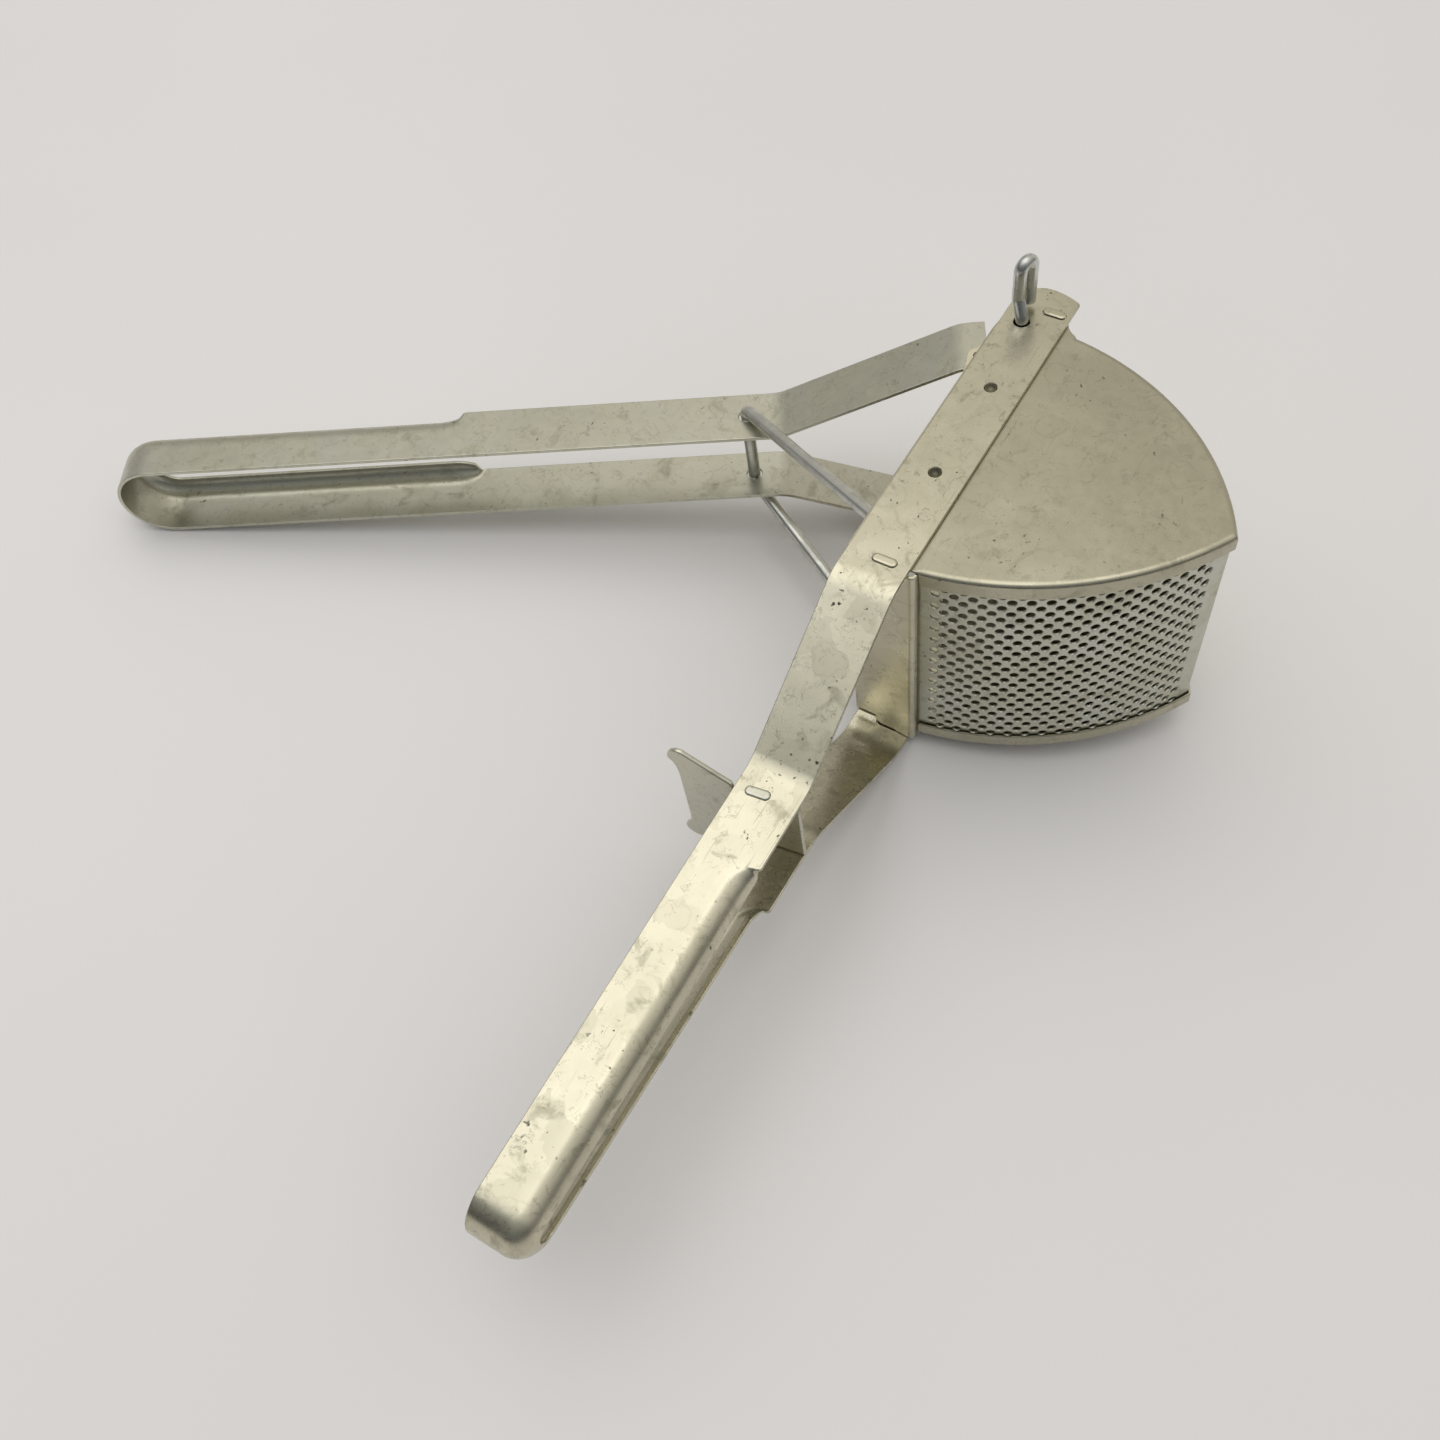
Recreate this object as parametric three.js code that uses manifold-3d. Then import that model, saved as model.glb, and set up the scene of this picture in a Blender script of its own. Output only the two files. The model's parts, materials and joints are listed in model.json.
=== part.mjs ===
// A hand potato ricer of tinned sheet steel: a wedge-shaped hopper held in a looped strap handle, and a
// looped strap lever that swings a curved presser through the hopper. The object lies on its side.
//
// Body frame used below: origin on the hinge pin's axis, halfway between the two hopper sides. +X runs along
// the frame handle, +Y points into the hopper and +Z along the pin, out of the upper side. The lever has a
// frame of its own, turned about Z. The finished group is laid down on its strap edge and the lever's loop.
import * as THREE from 'three';
import { mergeVertices } from 'three/addons/utils/BufferGeometryUtils.js';
import Module from 'manifold-3d';

const wasm = await Module();
wasm.setup();

const DEG = Math.PI / 180;
const GAP = 0.3; // between neighbouring pieces

// Frame strap: one flat strap bent into a long loop.
const HALF = 43.25; // half the height over the two arms at the hopper
const STRAP_T = 1.2;
const STRAP_LEFT = -6.3; // the edge on the mouth side
const STRAP_RIGHT = 12.7; // the edge on the hopper side
const STRAP_TIP = -16.2;
const TIP_ARC = { x: 6, y: 2.5, radius: 22 }; // the broad round end beyond the pin
const TIP_HEEL = { x: -6, reach: 10, drop: 8.8 }; // the tighter round down to the mouth edge
const FRAME_ARM = [[STRAP_TIP, HALF], [106.5, HALF], [155.5, 15], [284.4, 10.65]]; // outer face, X and Z
const FRAME_CURL = { start: 185, flat: 4.3, radius: 7, side: 1 };

// Lever strap, in the lever's own frame: U along it, V across it, Z up.
const LEVER_ANGLE = -60.3; // from the frame handle, with the lever open
const LEVER_NEAR = 13.6; // the edge that faces the frame handle
const LEVER_FAR = -5.5;
const LEVER_ARM = [[10.4, 39.1], [17.7, 39.1], [75, 14.4], [287.4, 14.7]];
const LEVER_CURL = { start: 182, flat: 1.4, radius: 6.5, side: -1 };

// Hopper.
const SIEVE_R = 97.8; // the sides' edge over the sieve, round the pin
const BACK_X = 84.6; // centre of the rounded back
const BACK_Y = 5.2;
const BACK_R = 87.6;
const SIDE_T = 0.8;
const SIDE_TOP = HALF - STRAP_T - GAP; // outer face of a side plate
const RIM_DEEP = 5.75; // flange round the sieve and the back
const MOUTH_EDGE = -7.3; // the sides reach just past the strap
const SIDE_END_X = 96.6;
const SIDE_TIP_X = -5.8;
const RIM_FROM = 9; // degrees round the pin
const SIEVE_FROM = 8;
const WALL_T = 0.8;
const WALL_HALF = SIDE_TOP - SIDE_T - 0.35;

// Sieve holes: a staggered grid.
const HOLE_COLUMNS = 30;
const HOLE_ROWS = 27;
const HOLE_FIRST = 11.3; // degrees
const HOLE_LAST = 56.5;
const HOLE_ROW_PITCH = 2.73;
const HOLE_R = 1.28;

// Presser, bail wire and hinge pin.
const CLOSING = 47; // degrees from open to shut
const PRESSER_T = 0.9;
const PRESSER_HALF = 40.5;
const PRESSER_OUTER = BACK_R - 3.0;
const PRESSER_TIP_R = 94.9;
const EAR_R = 5.5;
const KNUCKLE_R = 3.6;
const PIN_HOLE_R = 2.45;
const PIN_R = 2;
const HOOK_FRONT = [-1.8, -2.35]; // the leg that carries on down through the hopper
const HOOK_FREE = [-6.6, -0.85];
const HOOK_CROWN = 16.1; // middle of the bend, over the strap
const WIRE_R = 2;
const BAIL_CROSS = { u: 85.4, v: 3.8, z: 17.2 }; // through the lever, in the lever's frame
const BAIL_TIP = [89.9, 16.2, 36.8]; // where the leg turns out through the presser's ear
const LEVER_RIVET = { u: 13.4, v: 10.2 };
const CLINCHES = [[28.2, 3.3], [63.9, 3.3]];

// Cross plates, with tabs through both arms of the strap.
const PLATE_T = 1.2;
const TAB_LONG = 7.4;
const TAB_WIDE = 2.8;
const TAB_PROUD = 0.6;
const MOUTH_TAB = [97.7, 5.2];
const TIP_TAB = [-6.7, 7.5];
const STOP_TAB = [163.3, 0.6];
const STOP_T = 1.5;
const STOP_TURN = 7; // degrees, so that the horns lean away from the hopper
const MOUTH_NOTCH = { y: 0.9, high: 3.6 }; // out of the lower corner beside the lever

// --- Geometry helpers -------------------------------------------------------------------------------------

// A closed three.js geometry as a solid.
function solid(geometry) {
  geometry.deleteAttribute('normal');
  geometry.deleteAttribute('uv');
  const merged = mergeVertices(geometry);
  return new wasm.Manifold(new wasm.Mesh({
    numProp: 3,
    vertProperties: merged.attributes.position.array,
    triVerts: new Uint32Array(merged.index.array),
  }));
}

function join(...solids) {
  return solids.reduce((sum, next) => sum.add(next));
}

function cut(body, ...tools) {
  return tools.reduce((left, tool) => left.subtract(tool), body);
}

// A flat outline in X and Y, raised from one Z to another.
function prism(shape, low, high, curveSegments = 12) {
  const settings = { depth: high - low, bevelEnabled: false, curveSegments };
  return solid(new THREE.ExtrudeGeometry(shape, settings).translate(0, 0, low));
}

// An outline in Y and Z, carried along from one X to another.
function alongX(shape, from, to, curveSegments = 8) {
  const settings = { depth: to - from, bevelEnabled: false, curveSegments };
  const geometry = new THREE.ExtrudeGeometry(shape, settings);
  return solid(geometry.rotateZ(Math.PI / 2).rotateY(Math.PI / 2).translate(from, 0, 0));
}

// A solid turned about an upright line.
function turned(body, [x, y], degrees) {
  return body.translate(-x, -y, 0).rotate(0, 0, degrees).translate(x, y, 0);
}

function circle(x, y, radius) {
  return new THREE.Shape().absarc(x, y, radius, 0, 2 * Math.PI);
}

function rectangle(x0, y0, x1, y1) {
  return new THREE.Shape([[x0, y0], [x1, y0], [x1, y1], [x0, y1]].map(([x, y]) => new THREE.Vector2(x, y)));
}

// Part of a ring round (x, y), from one angle to another in degrees.
function ringSector(x, y, inner, outer, from, to) {
  const shape = new THREE.Shape();
  shape.absarc(x, y, outer, from * DEG, to * DEG, false);
  shape.absarc(x, y, inner, to * DEG, from * DEG, true);
  return shape;
}

// A slot or tab outline with round ends, long in Y.
function stadium([x, y], long, wide) {
  const reach = (long - wide) / 2;
  const shape = new THREE.Shape();
  shape.absarc(x, y + reach, wide / 2, 0, Math.PI, false);
  shape.absarc(x, y - reach, wide / 2, Math.PI, 2 * Math.PI, false);
  return shape;
}

// A path through points whose corners are rounded, for a bent wire or strap.
function bentPath(points, radius) {
  const path = new THREE.CurvePath();
  let from = points[0];
  for (let i = 1; i < points.length - 1; i += 1) {
    const corner = points[i];
    const before = corner.clone().sub(points[i - 1]);
    const after = points[i + 1].clone().sub(corner);
    const shorter = Math.min(before.length(), after.length());
    const reach = Math.min(radius * Math.tan(before.angleTo(after) / 2), shorter / 2);
    const enter = corner.clone().addScaledVector(before.normalize(), -reach);
    const leave = corner.clone().addScaledVector(after.normalize(), reach);
    path.add(new THREE.LineCurve3(from, enter));
    path.add(new THREE.QuadraticBezierCurve3(enter, corner, leave));
    from = leave;
  }
  path.add(new THREE.LineCurve3(from, points[points.length - 1]));
  return path;
}

// Points along a bent path: the ends of its straights and a few in each bend.
function pathPoints(path, inBend) {
  const points = path.curves.flatMap((curve) => curve.getPoints(curve.isLineCurve3 ? 1 : inBend));
  return points.filter((point, i) => i === 0 || point.distanceTo(points[i - 1]) > 1e-6);
}

// Places along a path at which a section is set. A strap's section keeps its width level with Y.
class Route extends THREE.Curve {
  constructor(points, level) {
    super();
    this.points = points;
    this.level = level;
  }

  getPointAt(t, target = new THREE.Vector3()) {
    return target.copy(this.points[Math.round(t * (this.points.length - 1))]);
  }

  getTangentAt(t, target = new THREE.Vector3()) {
    const i = Math.round(t * (this.points.length - 1));
    const before = this.points[Math.max(i - 1, 0)];
    const after = this.points[Math.min(i + 1, this.points.length - 1)];
    return target.subVectors(after, before).normalize();
  }

  computeFrenetFrames(segments, closed) {
    const frames = super.computeFrenetFrames(segments, closed);
    if (!this.level) return frames;
    frames.normals.forEach((normal, i) => {
      normal.set(0, 1, 0);
      frames.binormals[i].crossVectors(frames.tangents[i], normal);
    });
    return frames;
  }
}

function sweep(shape, points, level, curveSegments = 4) {
  const settings = { steps: points.length - 1, extrudePath: new Route(points, level), curveSegments };
  return solid(new THREE.ExtrudeGeometry(shape, settings));
}

function wire(corners, bendRadius, wireRadius) {
  const points = pathPoints(bentPath(corners.map((p) => new THREE.Vector3(...p)), bendRadius), 6);
  return sweep(circle(0, 0, wireRadius), points, false);
}

// --- Straps -----------------------------------------------------------------------------------------------

// The middle of a strap's thickness from the arm's free end to its loop, in X and Z.
function armLine(arm) {
  const corners = arm.map(([x, z]) => new THREE.Vector3(x, 0, z - STRAP_T / 2));
  return pathPoints(bentPath(corners, 14), 5);
}

// The whole loop: upper arm, half-round end, lower arm.
function loopLine(arm, from = -Infinity) {
  const upper = armLine(arm).filter((point) => point.x > from);
  if (from > -Infinity) {
    const [x, z] = arm[arm.length - 2];
    const [endX, endZ] = arm[arm.length - 1];
    const height = THREE.MathUtils.mapLinear(from, x, endX, z, endZ) - STRAP_T / 2;
    upper.unshift(new THREE.Vector3(from, 0, height));
  }
  const end = upper[upper.length - 1];
  const turns = 10;
  for (let i = 1; i < turns; i += 1) {
    const angle = Math.PI * i / turns;
    upper.push(new THREE.Vector3(end.x + end.z * Math.sin(angle), 0, end.z * Math.cos(angle)));
  }
  const lower = upper.slice(0, upper.length - turns + 1).reverse();
  return upper.concat(lower.map((point) => new THREE.Vector3(point.x, 0, -point.z)));
}

// A strap of the given width swept along a line, from V to V across.
function flatStrap(line, from, to) {
  return sweep(rectangle(from, -STRAP_T / 2, to, STRAP_T / 2), line, true);
}

// The outer edge of a grip, rolled a quarter turn in towards the other arm.
function curledEdge(arm, curl) {
  const inner = curl.radius - STRAP_T;
  const place = (radius, angle) => new THREE.Vector2(
    curl.flat + curl.side * radius * Math.sin(angle),
    STRAP_T / 2 - curl.radius + radius * Math.cos(angle),
  );
  const bends = 5;
  const overlap = -4 * DEG;
  const angleAt = (_, i) => THREE.MathUtils.lerp(overlap, Math.PI / 2, i / bends);
  const angles = Array.from({ length: bends + 1 }, angleAt);
  const outline = angles.map((angle) => place(curl.radius, angle));
  outline.push(...angles.reverse().map((angle) => place(inner, angle)));
  return sweep(new THREE.Shape(outline), loopLine(arm, curl.start), true);
}

// A looped strap: flat arms, and a grip whose outer edge is curled.
function loopedStrap(arm, low, high, curl) {
  const flatEdge = curl.flat + curl.side * 0.05;
  const narrow = flatStrap(loopLine(arm), curl.side > 0 ? low : flatEdge, curl.side > 0 ? flatEdge : high);
  const wideLine = armLine(arm).slice(0, -1);
  const [lastX, lastZ] = arm[arm.length - 2];
  const [endX, endZ] = arm[arm.length - 1];
  const shoulder = curl.start + 3;
  const shoulderZ = THREE.MathUtils.mapLinear(shoulder, lastX, endX, lastZ, endZ) - STRAP_T / 2;
  wideLine.push(new THREE.Vector3(shoulder, 0, shoulderZ));
  const upper = flatStrap(wideLine, low, high);
  const lower = flatStrap(wideLine.map((point) => new THREE.Vector3(point.x, 0, -point.z)), low, high);
  return join(narrow, upper, lower, curledEdge(arm, curl));
}

function tabSlot(place) {
  return prism(stadium(place, TAB_LONG + 2 * GAP, TAB_WIDE + 2 * GAP), -60, 60, 5);
}

function frameStrap() {
  const strap = loopedStrap(FRAME_ARM, STRAP_LEFT, STRAP_RIGHT, FRAME_CURL);
  const beyondTip = new THREE.Shape();
  beyondTip.absarc(TIP_ARC.x, TIP_ARC.y, TIP_ARC.radius, 145 * DEG, Math.PI, false);
  beyondTip.absellipse(TIP_HEEL.x, TIP_ARC.y, TIP_HEEL.reach, TIP_HEEL.drop, Math.PI, 1.5 * Math.PI, false);
  beyondTip.lineTo(TIP_HEEL.x, -20);
  beyondTip.lineTo(-40, -20);
  beyondTip.lineTo(-40, 30);
  const slots = [MOUTH_TAB, TIP_TAB].map(tabSlot);
  const stopSlot = turned(tabSlot(STOP_TAB), STOP_TAB, STOP_TURN);
  const holes = CLINCHES.map(([x, y]) => prism(circle(x, y, 2), -60, 60, 6));
  const pinHole = prism(circle(0, 0, PIN_HOLE_R), -60, 60, 8);
  return cut(strap, prism(beyondTip, -60, 60, 8), ...slots, stopSlot, ...holes, pinHole);
}

function leverStrap() {
  const strap = loopedStrap(LEVER_ARM, LEVER_FAR, LEVER_NEAR, LEVER_CURL);
  const wireHole = prism(circle(BAIL_CROSS.u, BAIL_CROSS.v, 2.6), -60, 60, 8);
  const rivetHole = prism(circle(LEVER_RIVET.u, LEVER_RIVET.v, 1.6), -60, 60, 5);
  return cut(strap, wireHole, rivetHole).rotate(0, 0, LEVER_ANGLE);
}

// --- Hopper -----------------------------------------------------------------------------------------------

const BACK_REACH = Math.hypot(BACK_X, BACK_Y);
const BACK_TURN = Math.atan2(BACK_Y, BACK_X) / DEG;

// Angle round the pin where a circle round it meets a circle round the back's centre.
function meetFromPin(pinRadius, backRadius) {
  const cosine = (pinRadius ** 2 + BACK_REACH ** 2 - backRadius ** 2) / (2 * pinRadius * BACK_REACH);
  return BACK_TURN + Math.acos(cosine) / DEG;
}

// The same corner's angle round the back's centre.
function meetFromBack(pinRadius, backRadius) {
  const angle = meetFromPin(pinRadius, backRadius) * DEG;
  return Math.atan2(pinRadius * Math.sin(angle) - BACK_Y, pinRadius * Math.cos(angle) - BACK_X) / DEG;
}

const CORNER = meetFromPin(SIEVE_R, BACK_R);
const CORNER_BACK = meetFromBack(SIEVE_R, BACK_R);
const TIP_BACK = 172.3; // where the rounded back starts, near the pin

function sideOutline() {
  const shape = new THREE.Shape();
  shape.moveTo(SIDE_END_X, MOUTH_EDGE);
  shape.absarc(0, 0, SIEVE_R, RIM_FROM * DEG, CORNER * DEG, false);
  shape.absarc(BACK_X, BACK_Y, BACK_R, CORNER_BACK * DEG, TIP_BACK * DEG, false);
  shape.quadraticCurveTo(-2.6, 14.4, SIDE_TIP_X, 12.6);
  shape.lineTo(SIDE_TIP_X, -2.5);
  shape.quadraticCurveTo(-2.5, MOUTH_EDGE, 4.4, MOUTH_EDGE);
  return shape;
}

function sidePlate(sign) {
  const level = (a, b) => [Math.min(sign * a, sign * b), Math.max(sign * a, sign * b)];
  const sheet = prism(sideOutline(), ...level(SIDE_TOP - SIDE_T, SIDE_TOP));
  const rim = level(SIDE_TOP - RIM_DEEP, SIDE_TOP - SIDE_T / 2);
  const overSieve = prism(ringSector(0, 0, SIEVE_R - SIDE_T, SIEVE_R, RIM_FROM, CORNER), ...rim);
  const overBack = prism(ringSector(BACK_X, BACK_Y, BACK_R - SIDE_T, BACK_R, CORNER_BACK, TIP_BACK), ...rim);
  const holes = [...CLINCHES.map(([x, y]) => circle(x, y, 2)), circle(0, 0, PIN_HOLE_R)];
  return cut(join(sheet, overSieve, overBack), ...holes.map((hole) => prism(hole, -60, 60, 6)));
}

const SIEVE_OUTER = SIEVE_R - SIDE_T - GAP;
const BACK_OUTER = BACK_R - SIDE_T - GAP;

// Curved sheet over the hopper's round end, with one flat facet to each column of holes.
function sieveWall() {
  const step = (HOLE_LAST - HOLE_FIRST) / (HOLE_COLUMNS - 1);
  const facets = Array.from({ length: HOLE_COLUMNS + 1 }, (_, i) => HOLE_FIRST + (i - 0.5) * step);
  const outerEnd = meetFromPin(SIEVE_OUTER, BACK_OUTER);
  const innerEnd = meetFromPin(SIEVE_OUTER - WALL_T, BACK_OUTER);
  const place = (radius, angle) => new THREE.Vector2(radius, 0).rotateAround(new THREE.Vector2(), angle * DEG);
  const outer = [SIEVE_FROM, ...facets, outerEnd].map((angle) => place(SIEVE_OUTER, angle));
  const inner = [SIEVE_FROM, ...facets, innerEnd].map((angle) => place(SIEVE_OUTER - WALL_T, angle));
  const sheet = prism(new THREE.Shape([...outer, ...inner.reverse()]), -WALL_HALF, WALL_HALF);
  const holes = [];
  for (let row = 0; row < HOLE_ROWS; row += 1) {
    for (let column = (row + 1) % 2; column < HOLE_COLUMNS; column += 2) {
      const punch = new THREE.CylinderGeometry(HOLE_R, HOLE_R, 4, 4).rotateZ(-Math.PI / 2);
      punch.translate(SIEVE_OUTER, 0, (row - (HOLE_ROWS - 1) / 2) * HOLE_ROW_PITCH);
      holes.push(solid(punch.rotateZ((HOLE_FIRST + column * step) * DEG)));
    }
  }
  return sheet.subtract(wasm.Manifold.union(holes));
}

function backWall() {
  const from = meetFromBack(SIEVE_OUTER - WALL_T - GAP, BACK_OUTER);
  return prism(ringSector(BACK_X, BACK_Y, BACK_OUTER - WALL_T, BACK_OUTER, from, 175), -WALL_HALF, WALL_HALF);
}

// Upright tab ends, which pass through the slots in both arms of the strap.
function tabs(place, strapHalf, root) {
  const outline = stadium(place, TAB_LONG, TAB_WIDE);
  const end = strapHalf + TAB_PROUD;
  return [prism(outline, strapHalf - root, end, 5), prism(outline, -end, root - strapHalf, 5)];
}

const CROSS_HALF = HALF - STRAP_T - GAP;

// Closes the gap between the strap and the sieve, with a rolled edge beside the sieve.
function mouthPlate() {
  const line = new THREE.CurvePath();
  line.add(new THREE.QuadraticBezierCurve3(
    new THREE.Vector3(97.6, -5.9, 0), new THREE.Vector3(97.7, 5, 0), new THREE.Vector3(98.8, 12.6, 0),
  ));
  line.add(new THREE.QuadraticBezierCurve3(
    new THREE.Vector3(98.8, 12.6, 0), new THREE.Vector3(99.1, 14.4, 0), new THREE.Vector3(97.4, 14.3, 0),
  ));
  const points = pathPoints(line, 5);
  const left = [];
  const right = [];
  points.forEach((point, i) => {
    const before = points[Math.max(i - 1, 0)];
    const after = points[Math.min(i + 1, points.length - 1)];
    const across = new THREE.Vector2(after.y - before.y, before.x - after.x).setLength(PLATE_T / 2);
    right.push(new THREE.Vector2(point.x, point.y).add(across));
    left.unshift(new THREE.Vector2(point.x, point.y).sub(across));
  });
  const sheet = prism(new THREE.Shape([...right, ...left]), -CROSS_HALF, CROSS_HALF);
  const notch = prism(rectangle(90, -10, 105, MOUTH_NOTCH.y), -60, MOUTH_NOTCH.high - CROSS_HALF);
  return join(cut(sheet, notch), ...tabs(MOUTH_TAB, HALF, STRAP_T + 2));
}

function tipPlate() {
  const [x] = TIP_TAB;
  const sheet = prism(rectangle(x - PLATE_T / 2, -1.5, x + PLATE_T / 2, 12.2), -CROSS_HALF, CROSS_HALF);
  const room = prism(rectangle(SIDE_TIP_X - GAP, -8, 0, 14), -60, 60);
  return cut(join(sheet, ...tabs(TIP_TAB, HALF, STRAP_T + GAP)), room.intersect(sheet));
}

// Stands across the frame handle and catches the lever between its two horns.
function stopPlate() {
  const [x] = STOP_TAB;
  const inside = 13.1;
  const shape = new THREE.Shape();
  shape.moveTo(12.9, -inside);
  shape.lineTo(12.9, inside);
  shape.lineTo(STRAP_LEFT - GAP, inside);
  shape.lineTo(STRAP_LEFT - GAP - 0.4, 15.6);
  shape.lineTo(-20.4, 23.9);
  shape.bezierCurveTo(-23.6, 26, -27.6, 20.6, -24.6, 18.2);
  shape.quadraticCurveTo(-23.2, 16.4, -23.2, 11);
  shape.lineTo(-23.2, -11);
  shape.quadraticCurveTo(-23.2, -16.4, -24.6, -18.2);
  shape.bezierCurveTo(-27.6, -20.6, -23.6, -26, -20.4, -23.9);
  shape.lineTo(STRAP_LEFT - GAP - 0.4, -15.6);
  shape.lineTo(STRAP_LEFT - GAP, -inside);
  const sheet = alongX(shape, x - STOP_T / 2, x + STOP_T / 2);
  const [, , [gripX, gripZ], [endX, endZ]] = FRAME_ARM;
  const strapHalf = THREE.MathUtils.mapLinear(x, gripX, endX, gripZ, endZ);
  return turned(join(sheet, ...tabs(STOP_TAB, strapHalf, STRAP_T + 1)), STOP_TAB, STOP_TURN);
}

// A flush rivet through the strap and a side plate.
function clinchRivet([x, y], sign) {
  const from = SIDE_TOP - SIDE_T + 0.05;
  const to = HALF - 0.25;
  return prism(circle(x, y, 1.7), Math.min(sign * from, sign * to), Math.max(sign * from, sign * to), 5);
}

// --- Lever assembly ---------------------------------------------------------------------------------------

// A point of the lever's frame in the body frame.
function fromLever(u, v, z) {
  return new THREE.Vector3(u, v, z).applyAxisAngle(new THREE.Vector3(0, 0, 1), LEVER_ANGLE * DEG).toArray();
}

// Curved plate that sweeps the hopper, with a knuckle round the pin and an ear down each side.
function presserPlate() {
  const centre = new THREE.Vector2(BACK_X, BACK_Y).rotateAround(new THREE.Vector2(), -CLOSING * DEG);
  const inner = PRESSER_OUTER - PRESSER_T;
  const tip = meetFromBack(PRESSER_TIP_R, PRESSER_OUTER) - CLOSING;
  const heel = meetFromBack(3, PRESSER_OUTER) - CLOSING;
  const curve = ringSector(centre.x, centre.y, inner, PRESSER_OUTER, tip, heel);
  const plate = prism(curve, -PRESSER_HALF, PRESSER_HALF, 12);
  const segment = new THREE.Shape();
  segment.absarc(centre.x, centre.y, inner + PRESSER_T / 2, tip * DEG, heel * DEG, false);
  const rivet = fromLever(LEVER_RIVET.u, LEVER_RIVET.v, 0);
  const reach = new THREE.Shape();
  reach.moveTo(0, 0);
  reach.lineTo(rivet[0] - 4, rivet[1] - 1.5);
  reach.lineTo(rivet[0] + 6, rivet[1] - 0.2);
  reach.lineTo(62, 2.5);
  reach.lineTo(60, 20);
  reach.lineTo(8, 8);
  const knuckle = prism(circle(0, 0, KNUCKLE_R), -PRESSER_HALF, PRESSER_HALF, 8);
  const solids = [plate, knuckle];
  for (const low of [-PRESSER_HALF, PRESSER_HALF - PRESSER_T]) {
    const high = low + PRESSER_T;
    const underPlate = prism(circle(centre.x, centre.y, inner + PRESSER_T / 2), low, high, 24);
    const web = prism(reach, low, high).intersect(underPlate);
    solids.push(prism(segment, low, high, 12), web, prism(circle(0, 0, EAR_R), low, high, 8));
    solids.push(prism(circle(rivet[0], rivet[1], 3.4), low, high, 6));
  }
  const bore = prism(circle(0, 0, PIN_HOLE_R), -60, 60, 8);
  const wireHole = prism(circle(BAIL_TIP[0], BAIL_TIP[1], WIRE_R + GAP), -60, 60, 6);
  const rivetHole = prism(circle(rivet[0], rivet[1], 1.6), -60, 60, 5);
  return cut(join(...solids), bore, wireHole, rivetHole);
}

function bailWire() {
  const [tipX, tipY, tipZ] = BAIL_TIP;
  const end = PRESSER_HALF + 0.1;
  const upper = [[tipX, tipY, end], BAIL_TIP, fromLever(BAIL_CROSS.u, BAIL_CROSS.v, BAIL_CROSS.z)];
  const lower = upper.map(([x, y, z]) => [x, y, -z]).reverse();
  return wire([...upper, ...lower], 3.4, WIRE_R);
}

function leverRivet(sign) {
  const [x, y] = fromLever(LEVER_RIVET.u, LEVER_RIVET.v, 0);
  const inside = LEVER_ARM[0][1] - STRAP_T - GAP;
  const shank = [inside - 0.1, PRESSER_HALF - 0.05].map((z) => sign * z).sort((a, b) => a - b);
  const head = [inside - 0.8, inside].map((z) => sign * z).sort((a, b) => a - b);
  return join(prism(circle(x, y, 1.3), ...shank, 5), prism(circle(x, y, 2.4), ...head, 6));
}

function hookPin() {
  const crown = HALF + HOOK_CROWN;
  const stem = [[0, 0, -HALF + 0.2], [0, 0, HALF + 1.2], [...HOOK_FRONT, HALF + 6.5], [...HOOK_FRONT, crown]];
  const points = pathPoints(bentPath(stem.map((p) => new THREE.Vector3(...p)), 3.6), 6);
  const front = new THREE.Vector3(...HOOK_FRONT, crown);
  const free = new THREE.Vector3(...HOOK_FREE, crown);
  const reach = front.distanceTo(free) / 2;
  const turns = 10;
  for (let i = 1; i <= turns; i += 1) {
    const angle = Math.PI * i / turns;
    const point = front.clone().lerp(free, (1 - Math.cos(angle)) / 2);
    point.z += reach * Math.sin(angle);
    points.push(point);
  }
  points.push(new THREE.Vector3(...HOOK_FREE, HALF + 2));
  return sweep(circle(0, 0, PIN_R), points, false);
}

// --- Assembly ---------------------------------------------------------------------------------------------

const TINNED = { color: 0xb9b49c, roughness: 0.34, metalness: 0.95 };
const TINNED_DULL = { color: 0xa39f89, roughness: 0.42, metalness: 0.95 };
const WIRE = { color: 0x9aa09c, roughness: 0.3, metalness: 0.95 };

const pieces = [
  ['frame_strap', frameStrap(), TINNED],
  ['side_plate_upper', sidePlate(1), TINNED],
  ['side_plate_lower', sidePlate(-1), TINNED],
  ['sieve_wall', sieveWall(), TINNED_DULL],
  ['back_wall', backWall(), TINNED_DULL],
  ['mouth_plate', mouthPlate(), TINNED],
  ['tip_plate', tipPlate(), TINNED],
  ['stop_plate', stopPlate(), TINNED_DULL],
  ['lever_strap', leverStrap(), TINNED_DULL],
  ['presser_plate', presserPlate(), TINNED_DULL],
  ['bail_wire', bailWire(), WIRE],
  ['hook_pin', hookPin(), WIRE],
];
for (const [side, sign] of [['upper', 1], ['lower', -1]]) {
  CLINCHES.forEach((place, i) => {
    pieces.push([`side_rivet_${side}_${i + 1}`, clinchRivet(place, sign), TINNED_DULL]);
  });
  pieces.push([`lever_rivet_${side}`, leverRivet(sign), TINNED_DULL]);
}

const ricer = new THREE.Group();
ricer.name = 'ricer';
for (const [name, body, look] of pieces) {
  const made = body.getMesh();
  const geometry = new THREE.BufferGeometry();
  geometry.setAttribute('position', new THREE.BufferAttribute(new Float32Array(made.vertProperties), 3));
  geometry.setIndex(new THREE.BufferAttribute(new Uint32Array(made.triVerts), 1));
  geometry.computeVertexNormals();
  const mesh = new THREE.Mesh(geometry, new THREE.MeshStandardMaterial(look));
  mesh.name = name;
  ricer.add(mesh);
}

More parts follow.
